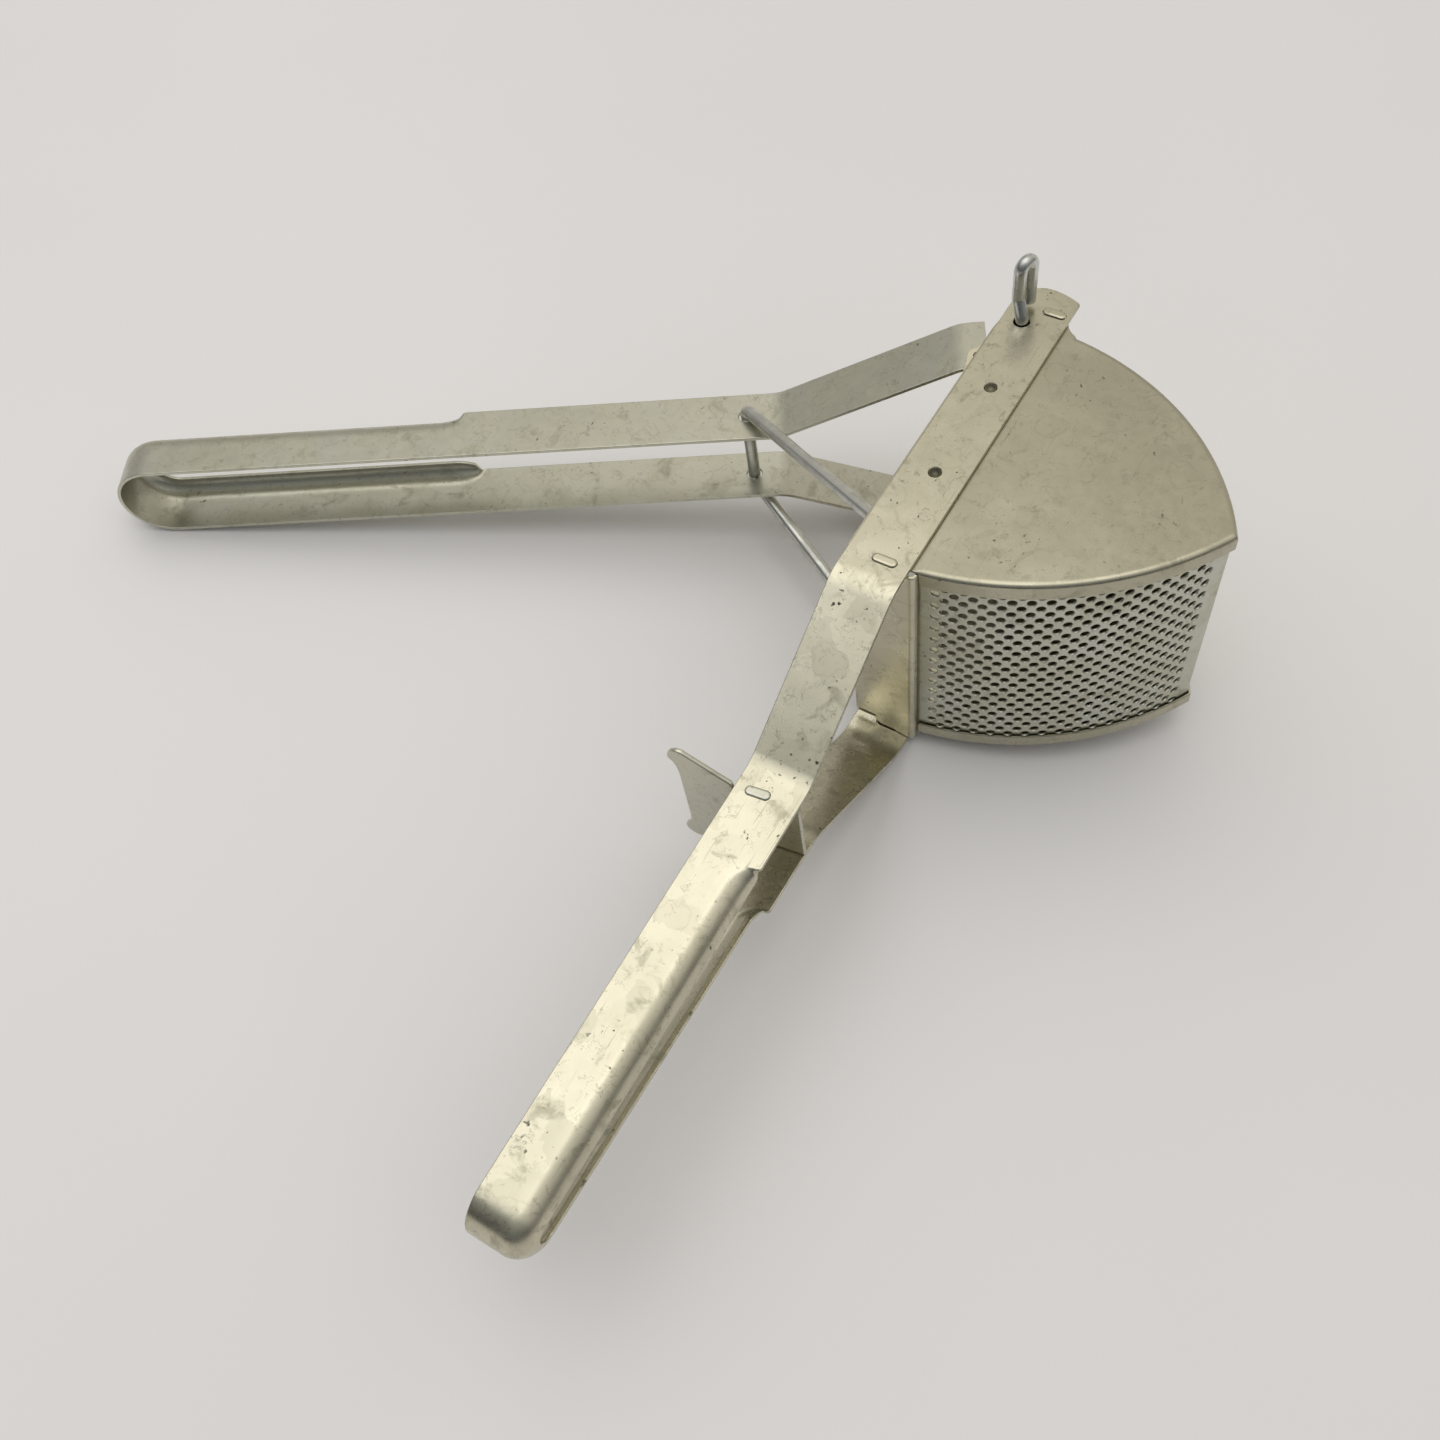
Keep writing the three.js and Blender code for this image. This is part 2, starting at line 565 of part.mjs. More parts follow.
// Lay the object down: it rests on the lower arm's mouth edge and tips until the lever's loop touches down.
function lieAngle() {
  const places = ricer.getObjectByName('lever_strap').geometry.attributes.position;
  let angle = Math.PI / 2;
  for (let i = 0; i < places.count; i += 1) {
    const away = STRAP_LEFT - places.getY(i);
    if (away > HALF) angle = Math.min(angle, Math.atan2(places.getZ(i) + HALF, away));
  }
  return angle;
}

ricer.rotation.x = lieAngle();
const box = new THREE.Box3().setFromObject(ricer, true);
const middle = box.getCenter(new THREE.Vector3());
ricer.position.set(-middle.x, -middle.y, -box.min.z);

const root = new THREE.Group();
root.add(ricer);

export default root;
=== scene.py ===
"""The look of a tinned-steel potato ricer lying open on its side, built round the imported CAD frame.

Pieces are drawn in millimetres in the ricer's own frame: origin on the hinge pin halfway between the
hopper's sides, X along the frame handle, Y into the hopper, Z along the pin. The hinge in the record
places that frame.
"""

import json
import math

import bmesh
import bpy
from mathutils import Matrix, Vector


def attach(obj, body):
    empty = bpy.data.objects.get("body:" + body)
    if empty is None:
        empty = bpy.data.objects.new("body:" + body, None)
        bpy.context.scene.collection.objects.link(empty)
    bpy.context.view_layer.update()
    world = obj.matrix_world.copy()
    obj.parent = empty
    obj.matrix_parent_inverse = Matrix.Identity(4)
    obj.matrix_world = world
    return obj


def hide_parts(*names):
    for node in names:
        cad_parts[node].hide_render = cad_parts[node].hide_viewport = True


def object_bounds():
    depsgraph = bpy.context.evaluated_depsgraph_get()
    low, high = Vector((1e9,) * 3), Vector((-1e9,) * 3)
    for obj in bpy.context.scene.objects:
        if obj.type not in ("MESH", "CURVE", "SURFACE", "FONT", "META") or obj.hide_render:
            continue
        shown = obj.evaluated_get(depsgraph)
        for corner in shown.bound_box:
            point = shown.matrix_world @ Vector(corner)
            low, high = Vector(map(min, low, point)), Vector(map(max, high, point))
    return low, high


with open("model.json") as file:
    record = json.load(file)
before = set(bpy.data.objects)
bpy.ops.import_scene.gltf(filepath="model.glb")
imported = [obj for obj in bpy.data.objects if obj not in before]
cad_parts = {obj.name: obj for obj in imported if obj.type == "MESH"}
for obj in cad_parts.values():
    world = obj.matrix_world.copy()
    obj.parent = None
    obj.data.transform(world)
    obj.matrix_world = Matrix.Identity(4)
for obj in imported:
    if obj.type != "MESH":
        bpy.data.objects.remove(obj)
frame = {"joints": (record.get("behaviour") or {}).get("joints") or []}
cad_low, cad_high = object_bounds()

# --- Frames ----------------------------------------------------------------------------------------

hinge = next(joint for joint in frame["joints"] if joint["name"] == "lever_hinge")
pin_up = Vector(hinge["axis"]).normalized()
along = Vector((1, 0, 0))
BODY = Matrix((along, pin_up.cross(along), pin_up)).transposed().to_4x4()
BODY.translation = Vector(hinge["pos_m"])
BODY = BODY @ Matrix.Scale(0.001, 4)
LEVER_ANGLE = math.radians(-60.3)
LEVER = BODY @ Matrix.Rotation(LEVER_ANGLE, 4, "Z")

# --- Dimensions, as in the CAD ---------------------------------------------------------------------

HALF = 43.25
STRAP_T = 1.2
EDGE = 0.22  # the softened corners of a strap
FRAME_ARM = [(-15.96, HALF), (106.5, HALF), (155.5, 15), (284.4, 10.65)]
FRAME_EDGES = (-6.3, 12.7)
FRAME_CURL = {"side": 1, "from": 182, "to": 190, "flat": 4.3, "radius": 7.0, "lip": 0.28}
LEVER_ARM = [(10.4, 39.1), (17.7, 39.1), (75, 14.4), (287.25, 14.62)]
LEVER_EDGES = (-5.5, 13.6)
LEVER_CURL = {"side": -1, "from": 179, "to": 189, "flat": 1.4, "radius": 6.5, "lip": 0.35}

SIEVE_R = 97.8
BACK = (84.6, 5.2)
BACK_R = 87.6
SIDE_T = 0.8
SIDE_TOP = HALF - STRAP_T - 0.3
WALL_T = 0.8
WALL_HALF = SIDE_TOP - SIDE_T - 0.35
SIEVE_OUTER = SIEVE_R - SIDE_T - 0.3
BACK_OUTER = BACK_R - SIDE_T - 0.3
RIM_DEEP = 5.75
RIM_FROM = 9
SIEVE_FROM = 8
TIP_BACK = 172.3
MOUTH_EDGE = -7.3
SIDE_END_X = 96.6
SIDE_TIP_X = -5.8

HOLE_COLUMNS = 30
HOLE_ROWS = 27
HOLE_FIRST = 11.3
HOLE_LAST = 56.5
HOLE_PITCH = 2.73
HOLE_R = 1.36

PRESSER_OUTER = BACK_R - 3.0
PRESSER_T = 0.9
PRESSER_HALF = 40.5
PRESSER_TIP_R = 94.9
CLOSING = 47
PIN_HOLE_R = 2.45
PIN_R = 2.0
HOOK_FRONT = (-1.8, -2.35)
HOOK_FREE = (-6.6, -0.85)
HOOK_CROWN = 16.05
WIRE_R = 2.0
BAIL_CROSS = (85.4, 3.8, 17.2)
BAIL_TIP = (89.9, 16.2, 36.8)
LEVER_RIVET = (13.4, 10.2)
CLINCHES = [(28.2, 3.3), (63.9, 3.3)]
PLATE_T = 1.2
STOP_T = 1.5
TAB_LONG = 7.0
TAB_WIDE = 2.5
MOUTH_TAB = (97.7, 5.2)
TIP_TAB = (-6.7, 7.5)
STOP_TAB = (163.3, 0.6)
STOP_TURN = math.radians(7)
CROSS_HALF = HALF - STRAP_T - 0.3

# --- Small geometry --------------------------------------------------------------------------------


def polar(centre, radius, degrees):
    a = math.radians(degrees)
    return Vector((centre[0] + radius * math.cos(a), centre[1] + radius * math.sin(a)))


def arc(centre, radius, start, end, steps):
    """Points of an arc in the plane, from one angle to another in degrees."""
    return [polar(centre, radius, start + (end - start) * i / steps) for i in range(steps + 1)]


def smoothstep(low, high, value):
    t = min(max((value - low) / (high - low), 0), 1)
    return t * t * (3 - 2 * t)


def meet(pin_radius, back_radius):
    """Where a circle round the pin meets one round the back's centre, on the hopper's far side."""
    reach = math.hypot(*BACK)
    cosine = (pin_radius**2 + reach**2 - back_radius**2) / (2 * pin_radius * reach)
    return polar((0, 0), pin_radius, math.degrees(math.atan2(BACK[1], BACK[0]) + math.acos(cosine)))


def angle_of(point, centre=(0, 0)):
    return math.degrees(math.atan2(point[1] - centre[1], point[0] - centre[0]))


def rounded(corners, radius, bend_steps=8, spacing=3.0):
    """A path through corners with rounded bends, with a point at least every `spacing` mm."""
    corners = [Vector(c) for c in corners]
    path = [corners[0]]
    for before, corner, after in zip(corners, corners[1:], corners[2:]):
        back, ahead = corner - before, after - corner
        reach = min(radius * math.tan(back.angle(ahead) / 2), back.length / 2, ahead.length / 2)
        enter = corner - back.normalized() * reach
        leave = corner + ahead.normalized() * reach
        path.append(enter)
        for i in range(1, bend_steps + 1):
            t = i / bend_steps
            path.append(enter * (1 - t) ** 2 + corner * (2 * t * (1 - t)) + leave * t * t)
    path.append(corners[-1])
    dense = [path[0]]
    for a, b in zip(path, path[1:]):
        if (b - a).length < 1e-6:
            continue
        parts = max(1, math.ceil((b - a).length / spacing))
        dense += [a.lerp(b, i / parts) for i in range(1, parts + 1)]
    return dense


def tangents(points):
    ends = [points[0]] + list(points) + [points[-1]]
    return [(after - before).normalized() for before, after in zip(ends, ends[2:])]


def loft(rings, closed=False):
    """Skin over closed rings of equal size, with flat ends."""
    n = len(rings[0])
    verts = [v for ring in rings for v in ring]
    spans = [(i, i + 1) for i in range(len(rings) - 1)]
    if closed:
        spans.append((len(rings) - 1, 0))
    faces = []
    for a, b in spans:
        for j in range(n):
            k = (j + 1) % n
            faces.append((a * n + j, a * n + k, b * n + k, b * n + j))
    if not closed:
        faces.append(tuple(reversed(range(n))))
        faces.append(tuple(range((len(rings) - 1) * n, len(rings) * n)))
    return verts, faces


def mirrored(part):
    verts, faces = part
    return [Vector((v[0], v[1], -v[2])) for v in verts], [tuple(reversed(f)) for f in faces]


# --- Objects ---------------------------------------------------------------------------------------


def solid(name, part, matrix=BODY):
    """An object of closed mesh, its vertices placed in the row frame."""
    verts, faces = part
    mesh = bpy.data.meshes.new(name)
    mesh.from_pydata([matrix @ Vector(v) for v in verts], [], faces)
    bm = bmesh.new()
    bm.from_mesh(mesh)
    bmesh.ops.remove_doubles(bm, verts=bm.verts, dist=1e-7)
    bmesh.ops.recalc_face_normals(bm, faces=bm.faces)
    bm.to_mesh(mesh)
    bm.free()
    obj = bpy.data.objects.new(name, mesh)
    bpy.context.scene.collection.objects.link(obj)
    return obj


def boolean(obj, tools, operation):
    for tool in tools:
        step = obj.modifiers.new("boolean", "BOOLEAN")
        step.operation = operation
        step.solver = "EXACT"
        step.object = tool
    bpy.context.view_layer.update()
    made = bpy.data.meshes.new_from_object(obj.evaluated_get(bpy.context.evaluated_depsgraph_get()))
    obj.modifiers.clear()
    obj.data = made
    for tool in tools:
        bpy.data.objects.remove(tool)
    return obj


def cut(obj, *tools):
    return boolean(obj, tools, "DIFFERENCE")


def fuse(obj, *tools):
    return boolean(obj, tools, "UNION")


def finished(obj, material, body, nodes, sharp=38):
    """Smooth shading, a material, a body to ride on and the CAD nodes it stands for."""
    mesh = obj.data
    mesh.materials.clear()
    mesh.materials.append(material)
    mesh.shade_smooth()
    mesh.set_sharp_from_angle(angle=math.radians(sharp))
    weighted = obj.modifiers.new("normals", "WEIGHTED_NORMAL")
    weighted.keep_sharp = True
    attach(obj, body)
    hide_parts(*nodes)
    return obj


# --- Materials -------------------------------------------------------------------------------------


class Graph:
    """The node tree of a material or a world, with short calls for the nodes used here."""

    def __init__(self, owner, last):
        owner.use_nodes = True
        self.tree = owner.node_tree
        self.shader = self.tree.nodes[last]

    def node(self, kind, inputs=None, **settings):
        made = self.tree.nodes.new(kind)
        for key, value in settings.items():
            setattr(made, key, value)
        for key, value in (inputs or {}).items():
            if isinstance(value, bpy.types.NodeSocket):
                self.tree.links.new(value, made.inputs[key])
            else:
                made.inputs[key].default_value = value
        return made

    def millimetres(self, shift, stretch=(1, 1, 1), turn=0.0):
        """Coordinates in millimetres, moved by a shift so that no two materials share a pattern."""
        where = self.node("ShaderNodeTexCoord").outputs["Object"]
        turned = self.node("ShaderNodeMapping", {"Vector": where, "Rotation": (0, 0, turn)})
        scale = tuple(1000 * s for s in stretch)
        place = (shift, shift * 0.7, shift * 1.3)
        moved = {"Vector": turned.outputs[0], "Scale": scale, "Location": place}
        return self.node("ShaderNodeMapping", moved).outputs[0]

    def noise(self, where, scale, detail=2.0, rough=0.5, distortion=0.0):
        inputs = {"Vector": where, "Scale": scale, "Detail": detail, "Roughness": rough}
        inputs["Distortion"] = distortion
        return self.node("ShaderNodeTexNoise", inputs).outputs["Fac"]

    def steps(self, value, low, high, to_low=0.0, to_high=1.0):
        inputs = {"Value": value, "From Min": low, "From Max": high, "To Min": to_low, "To Max": to_high}
        return self.node("ShaderNodeMapRange", inputs, interpolation_type="SMOOTHSTEP").outputs["Result"]

    def maths(self, operation, a, b=0.0):
        made = self.node("ShaderNodeMath", {0: a, 1: b}, operation=operation)
        return made.outputs[0]

    def ramp(self, value, stops):
        """Values along a straight-sided curve, from (place, value) pairs."""
        made = self.node("ShaderNodeValToRGB", {0: value})
        elements = made.color_ramp.elements
        elements.remove(elements[0])
        for i, (place, colour) in enumerate(stops):
            stop = elements[0] if i == 0 else elements.new(place)
            stop.position = place
            stop.color = (*colour, 1) if isinstance(colour, tuple) else (colour, colour, colour, 1)
        return made.outputs[0]

    def mix(self, factor, a, b, blend="MIX"):
        made = self.node("ShaderNodeMix", {"Factor": factor}, data_type="RGBA", blend_type=blend)
        for socket, value in ((made.inputs[6], a), (made.inputs[7], b)):
            if isinstance(value, bpy.types.NodeSocket):
                self.tree.links.new(value, socket)
            else:
                socket.default_value = (*value, 1)
        return made.outputs[2]

    def bump(self, height, distance, normal=None):
        inputs = {"Height": height, "Distance": distance, "Strength": 1.0}
        if normal is not None:
            inputs["Normal"] = normal
        return self.node("ShaderNodeBump", inputs).outputs["Normal"]

    def wire(self, socket, value):
        self.tree.links.new(value, self.shader.inputs[socket])


def tinned(name, shift, light, deep, stain, rough=0.3, blotch=1.0, grime=1.0, wave=1.0, turn=0.0):
    """Old tinplate: cloudy patches with faint rims, smudges, dark squiggles and spots, and scratches."""
    material = bpy.data.materials.new(name)
    g = Graph(material, "Principled BSDF")
    g.shader.inputs["Metallic"].default_value = 1.0
    where = g.millimetres(shift)
    wobble = g.node("ShaderNodeTexNoise", {"Vector": where, "Scale": 0.2, "Detail": 4.0}).outputs["Color"]
    middle = (0.5, 0.5, 0.5)
    centred = g.node("ShaderNodeVectorMath", {0: wobble, 1: middle}, operation="SUBTRACT").outputs[0]
    pushed = g.node("ShaderNodeVectorMath", {0: centred, 3: 7.0}, operation="SCALE").outputs[0]
    bent = g.node("ShaderNodeVectorMath", {0: where, 1: pushed}, operation="ADD").outputs[0]
    cells = g.node("ShaderNodeTexVoronoi", {"Vector": bent, "Scale": 0.1, "Randomness": 1.0})
    cell = g.node("ShaderNodeSeparateColor", {"Color": cells.outputs["Color"]}).outputs[0]
    patch = g.steps(cell, 0.2, 0.85)
    off_rim = g.maths("ABSOLUTE", g.maths("SUBTRACT", cells.outputs["Distance"], 0.42))
    rim = g.maths("MULTIPLY", g.steps(off_rim, 0.0, 0.05, 1.0, 0.0), g.steps(cell, 0.45, 0.6))
    cloud = g.steps(g.noise(where, 0.022, 3.0, 0.55), 0.36, 0.66)
    mottle = g.steps(g.noise(where, 0.3, 4.0, 0.6), 0.3, 0.7)
    smudge = g.steps(g.noise(where, 0.13, 6.0, 0.65, 0.6), 0.54, 0.7)
    cluster = g.steps(g.noise(where, 0.045, 2.0), 0.47, 0.62)
    spots = g.steps(g.noise(where, 0.5, 3.0, 0.5), 0.67, 0.72)
    spotted = g.maths("MULTIPLY", g.maths("MULTIPLY", spots, cluster), 0.8 * grime)
    curl = g.maths("ABSOLUTE", g.maths("SUBTRACT", g.noise(bent, 0.17, 4.0, 0.55, 0.8), 0.5))
    broken = g.steps(g.noise(where, 0.22, 2.0), 0.46, 0.56)
    squiggle = g.maths("MULTIPLY", g.steps(curl, 0.0, 0.018, 1.0, 0.0), broken)
    squiggled = g.maths("MULTIPLY", squiggle, 0.34 * grime)
    fine = g.millimetres(shift + 31, (0.045, 1.6, 1.6), turn)
    hair = g.steps(g.noise(fine, 1.1, 2.0, 0.4), 0.64, 0.72)
    worn = g.steps(g.noise(where, 0.03, 2.0), 0.45, 0.6)
    scratched = g.maths("MULTIPLY", g.maths("MULTIPLY", hair, worn), 0.35 * grime)

    tone = g.mix(g.maths("MULTIPLY", patch, 0.6 * blotch), light, deep)
    tone = g.mix(g.maths("MULTIPLY", cloud, 0.6), tone, deep)
    tone = g.mix(g.maths("MULTIPLY", mottle, 0.28), tone, light)
    tone = g.mix(g.maths("MULTIPLY", rim, 0.22 * blotch), tone, stain)
    tone = g.mix(g.maths("MULTIPLY", smudge, 0.42 * grime), tone, stain)
    tone = g.mix(scratched, tone, stain)
    tone = g.mix(squiggled, tone, tuple(0.55 * c for c in stain))
    tone = g.mix(spotted, tone, tuple(0.3 * c for c in stain))
    g.wire("Base Color", tone)

    uneven = g.maths("ADD", g.maths("MULTIPLY", patch, 0.07 * blotch), g.maths("MULTIPLY", mottle, 0.05))
    uneven = g.maths("ADD", uneven, g.maths("MULTIPLY", smudge, 0.10))
    uneven = g.maths("ADD", uneven, g.maths("MULTIPLY", spotted, 0.25))
    g.wire("Roughness", g.maths("ADD", uneven, rough))

    ripple = g.bump(g.noise(where, 0.05, 2.0, 0.4), 0.00022 * wave)
    orange = g.bump(g.noise(where, 0.3, 2.0, 0.5), 0.00001, ripple)
    marks = g.maths("ADD", g.maths("ADD", scratched, spotted), squiggled)
    g.wire("Normal", g.bump(g.maths("SUBTRACT", 1.0, marks), 0.000008, orange))
    return material


def plated(name, shift, light, deep, rough):
    """Plated wire: smooth, with dull patches, a fine mottle and a few dark specks."""
    material = bpy.data.materials.new(name)
    g = Graph(material, "Principled BSDF")
    g.shader.inputs["Metallic"].default_value = 1.0
    where = g.millimetres(shift)
    dull = g.steps(g.noise(where, 0.14, 4.0, 0.6), 0.4, 0.65)
    mottle = g.noise(where, 0.9, 5.0, 0.6)
    specks = g.maths("MULTIPLY", g.steps(g.noise(where, 1.1, 2.0), 0.7, 0.76), 0.5)
    tone = g.mix(dull, light, deep)
    tone = g.mix(g.maths("MULTIPLY", mottle, 0.25), tone, deep)
    tone = g.mix(specks, tone, tuple(0.35 * c for c in deep))
    g.wire("Base Color", tone)
    g.wire("Roughness", g.maths("ADD", g.maths("MULTIPLY", dull, 0.14), rough))
    g.wire("Normal", g.bump(mottle, 0.00002))
    return material


WARM = (0.64, 0.605, 0.475)
OLIVE = (0.51, 0.485, 0.365)
COOL = (0.58, 0.585, 0.51)
STAIN = (0.29, 0.275, 0.195)
# A paler tin for the presser and the back wall: painted light for the dim inside of the hopper seen through
# the holes.
PAINTED_INSIDE_LIGHT = (0.74, 0.69, 0.54)
LEVER_LIGHT = (0.58, 0.572, 0.485)
LEVER_DEEP = (0.53, 0.512, 0.40)
SIDE_LIGHT = (0.50, 0.472, 0.366)
SIDE_DEEP = (0.42, 0.40, 0.30)
STOP_LIGHT = (0.63, 0.61, 0.5)
# The clinch rivets' dark colours paint the shade inside their punched cups.
RIVET_SHADE_DARK = (0.2, 0.19, 0.135)
RIVET_SHADE_DARKEST = (0.1, 0.095, 0.07)

strap_tin = tinned("frame_strap_tin", 11, WARM, OLIVE, STAIN, rough=0.24, blotch=0.8, grime=1.3, wave=0.8)
lever_tin = tinned("lever_strap_tin", 47, LEVER_LIGHT, LEVER_DEEP, STAIN, blotch=0.8, turn=LEVER_ANGLE)
side_tin = tinned("side_tin", 83, SIDE_LIGHT, SIDE_DEEP, STAIN, rough=0.25, wave=1.5)
sieve_tin = tinned("sieve_tin", 129, COOL, OLIVE, STAIN, blotch=0.7, grime=0.8)
plate_tin = tinned("plate_tin", 171, WARM, OLIVE, STAIN, rough=0.26, blotch=0.8)
stop_tin = tinned("stop_tin", 419, STOP_LIGHT, COOL, STAIN, rough=0.32, blotch=0.8)
# The presser and the back wall use a paler tin than the rest: painted light standing in for light reaching
# inside the hopper.
presser_tin = tinned("presser_tin", 213, PAINTED_INSIDE_LIGHT, WARM, OLIVE, rough=0.5, grime=0.8)
back_tin = tinned("back_tin", 367, PAINTED_INSIDE_LIGHT, WARM, OLIVE, rough=0.45, grime=0.8)
# Dark tin for the clinch rivets: painted shade of their cups.
rivet_painted_shade = tinned("rivet_painted_shade", 331, STAIN, RIVET_SHADE_DARK, RIVET_SHADE_DARKEST, rough=0.6, grime=1.5)
bail_plating = plated("bail_plating", 251, (0.66, 0.66, 0.61), (0.50, 0.50, 0.455), 0.3)
pin_plating = plated("pin_plating", 287, (0.66, 0.67, 0.645), (0.47, 0.48, 0.46), 0.22)

# --- Straps ----------------------------------------------------------------------------------------


def sheet_outline(middle, thickness, corner=EDGE):
    """Closed outline of a bent sheet seen edge-on, with softened corners."""
    ways = tangents(middle)
    outs = [Vector((-t.y, t.x)) for t in ways]
    half = thickness / 2
    outline = [m + o * half for m, o in zip(middle, outs)]
    for end, way, out, first in ((-1, ways[-1], outs[-1], 1), (0, -ways[0], outs[0], -1)):
        centre = middle[end]
        for side in (first, -first):
            turn = (30, 60, 90) if side == first else (90, 60, 30)
            hub = centre + out * (side * (half - corner))
            for degrees in turn:
                a = math.radians(degrees)
                outline.append(hub + way * (corner * math.sin(a)) + out * (side * corner * math.cos(a)))
        if end == -1:
            outline += [m - o * half for m, o in zip(reversed(middle), reversed(outs))]
    return outline


def strap_middle(low, high, curl, t):
    """Middle line of the strap's section. As t runs from 0 to 1, one edge turns in and the bend grows."""
    side = curl["side"]
    start, edge = (low, high) if side > 0 else (-high, -low)
    start += EDGE
    grown = 1 - (1 - t) ** 2
    end_angle = math.pi / 2 * smoothstep(0, curl["lip"], t)
    radius = 2.5 + (curl["radius"] - 2.5) * grown
    outer = edge + (side * curl["flat"] + curl["radius"] - edge) * grown
    level = outer - start - radius * math.sin(end_angle) - EDGE * math.cos(end_angle)
    middle_radius = radius - STRAP_T / 2
    bend_length = max(0, middle_radius * end_angle - EDGE * math.sin(end_angle))
    count = 26
    rolled = []
    for i in range(count + 1):
        run = (0.5 - 0.5 * math.cos(math.pi * i / count)) * (level + bend_length)
        angle = max(run - level, 0) / middle_radius
        across = min(run, level) + middle_radius * math.sin(angle)
        rolled.append(Vector((side * (start + across), -middle_radius * (1 - math.cos(angle)))))
    return rolled if side > 0 else rolled[::-1]


def with_stations(line, places):
    """The same line with more points, at the given distances along."""
    made = [line[0]]
    for a, b in zip(line, line[1:]):
        between = sorted(x for x in places if a.x + 0.02 < x < b.x - 0.02)
        made += [a.lerp(b, (x - a.x) / (b.x - a.x)) for x in between]
        made.append(b)
    return made


def strap_loop(arm, edges, curl, places=()):
    """A strap bent into a loop: two arms, a half-round end and one edge of the grip rolled inwards."""
    span = curl["to"] - curl["from"]
    onset = [curl["from"] + span * i / 24 for i in range(25)]
    upper = with_stations(rounded([(x, z - STRAP_T / 2) for x, z in arm], 14), [*places, *onset])
    end = upper[-1]
    turns = 28
    bend = [Vector((end.x + end.y * math.sin(math.pi * i / turns), end.y * math.cos(math.pi * i / turns)))
            for i in range(1, turns)]
    line = upper + bend + [Vector((p.x, -p.y)) for p in reversed(upper)]
    rings = []
    for at, way in zip(line, tangents(line)):
        out = Vector((-way.y, way.x))
        low, high = edges(at.x)
        share = min(max((at.x - curl["from"]) / span, 0), 1)
        outline = sheet_outline(strap_middle(low, high, curl, share), STRAP_T)
        rings.append([Vector((at.x + out.x * p.y, p.x, at.y + out.y * p.y)) for p in outline])
    return loft(rings)


def frame_edges(x):
    """The frame strap's edges: parallel, with a broad rounded tip beyond the pin."""
    low, high = FRAME_EDGES
    if x < -6:
        high = min(high, 2.5 + math.sqrt(max(0, 22**2 - (x - 6) ** 2)))
        low = 2.5 - 8.8 * math.sqrt(max(0, 1 - ((x + 6) / 10) ** 2))
    return low, high


def column(outline, levels):
    """A closed form with one outline, grown or shrunk about its middle line at each height."""
    rings = [[Vector((*outline(grow, t), z)) for t in range(32)] for z, grow in levels]
    return loft(rings)


def stadium(place, long, wide, turn=0.0):
    """Outline with round ends, long in Y unless turned, that can grow by an offset."""
    straight = (long - wide) / 2

    def point(grow, t):
        a = 2 * math.pi * t / 32
        radius = wide / 2 + grow
        x = radius * math.cos(a)
        y = radius * math.sin(a) + (straight if math.sin(a) >= 0 else -straight)
        cosine, sine = math.cos(turn), math.sin(turn)
        return place[0] + x * cosine - y * sine, place[1] + x * sine + y * cosine

    return point


def disc(place, radius):
    return stadium(place, 2 * radius, 2 * radius)


def bore(outline, top, thickness, matrix=BODY, rim=0.22):
    """A tool that cuts a hole with softened rims through the sheet on both sides of the ricer."""
    levels = [(top - thickness - 1, rim + 1), (top - thickness + rim, 0), (top - rim, 0), (top + 1, rim + 1)]
    tool = column(outline, levels)
    return [solid("tool", tool, matrix), solid("tool", mirrored(tool), matrix)]


def grip_half(arm, x):
    """Half the height over a loop's two arms, along its grip."""
    (x0, z0), (x1, z1) = arm[2:]
    return z0 + (z1 - z0) * (x - x0) / (x1 - x0)


def make_frame_strap():
    tip = [-16 + 10 * (1 - math.cos(math.pi / 2 * i / 14)) for i in range(1, 15)]
    obj = solid("frame_strap_skin", strap_loop(FRAME_ARM, frame_edges, FRAME_CURL, [*tip, -13.6, -13.3]))
    tools = bore(disc((0, 0), PIN_HOLE_R), HALF, STRAP_T)
    for place in CLINCHES:
        tools += bore(disc(place, 1.85), HALF, STRAP_T)
    slot = (TAB_LONG + 0.3, TAB_WIDE + 0.3)
    for place in (MOUTH_TAB, TIP_TAB):
        tools += bore(stadium(place, *slot), HALF, STRAP_T, rim=0.12)
    stop_top = grip_half(FRAME_ARM, STOP_TAB[0])
    tools += bore(stadium(STOP_TAB, *slot, STOP_TURN), stop_top, STRAP_T + 0.1, rim=0.12)
    cut(obj, *tools)
    return finished(obj, strap_tin, "frame", ["frame_strap"])


def make_lever_strap():
    obj = solid("lever_strap_skin", strap_loop(LEVER_ARM, lambda x: LEVER_EDGES, LEVER_CURL), LEVER)
    tools = bore(disc(BAIL_CROSS[:2], 2.55), grip_half(LEVER_ARM, BAIL_CROSS[0]), STRAP_T, LEVER)
    tools += bore(disc(LEVER_RIVET, 1.6), LEVER_ARM[0][1], STRAP_T, LEVER)
    cut(obj, *tools)
    return finished(obj, lever_tin, "lever", ["lever_strap"])


# --- Hopper ----------------------------------------------------------------------------------------


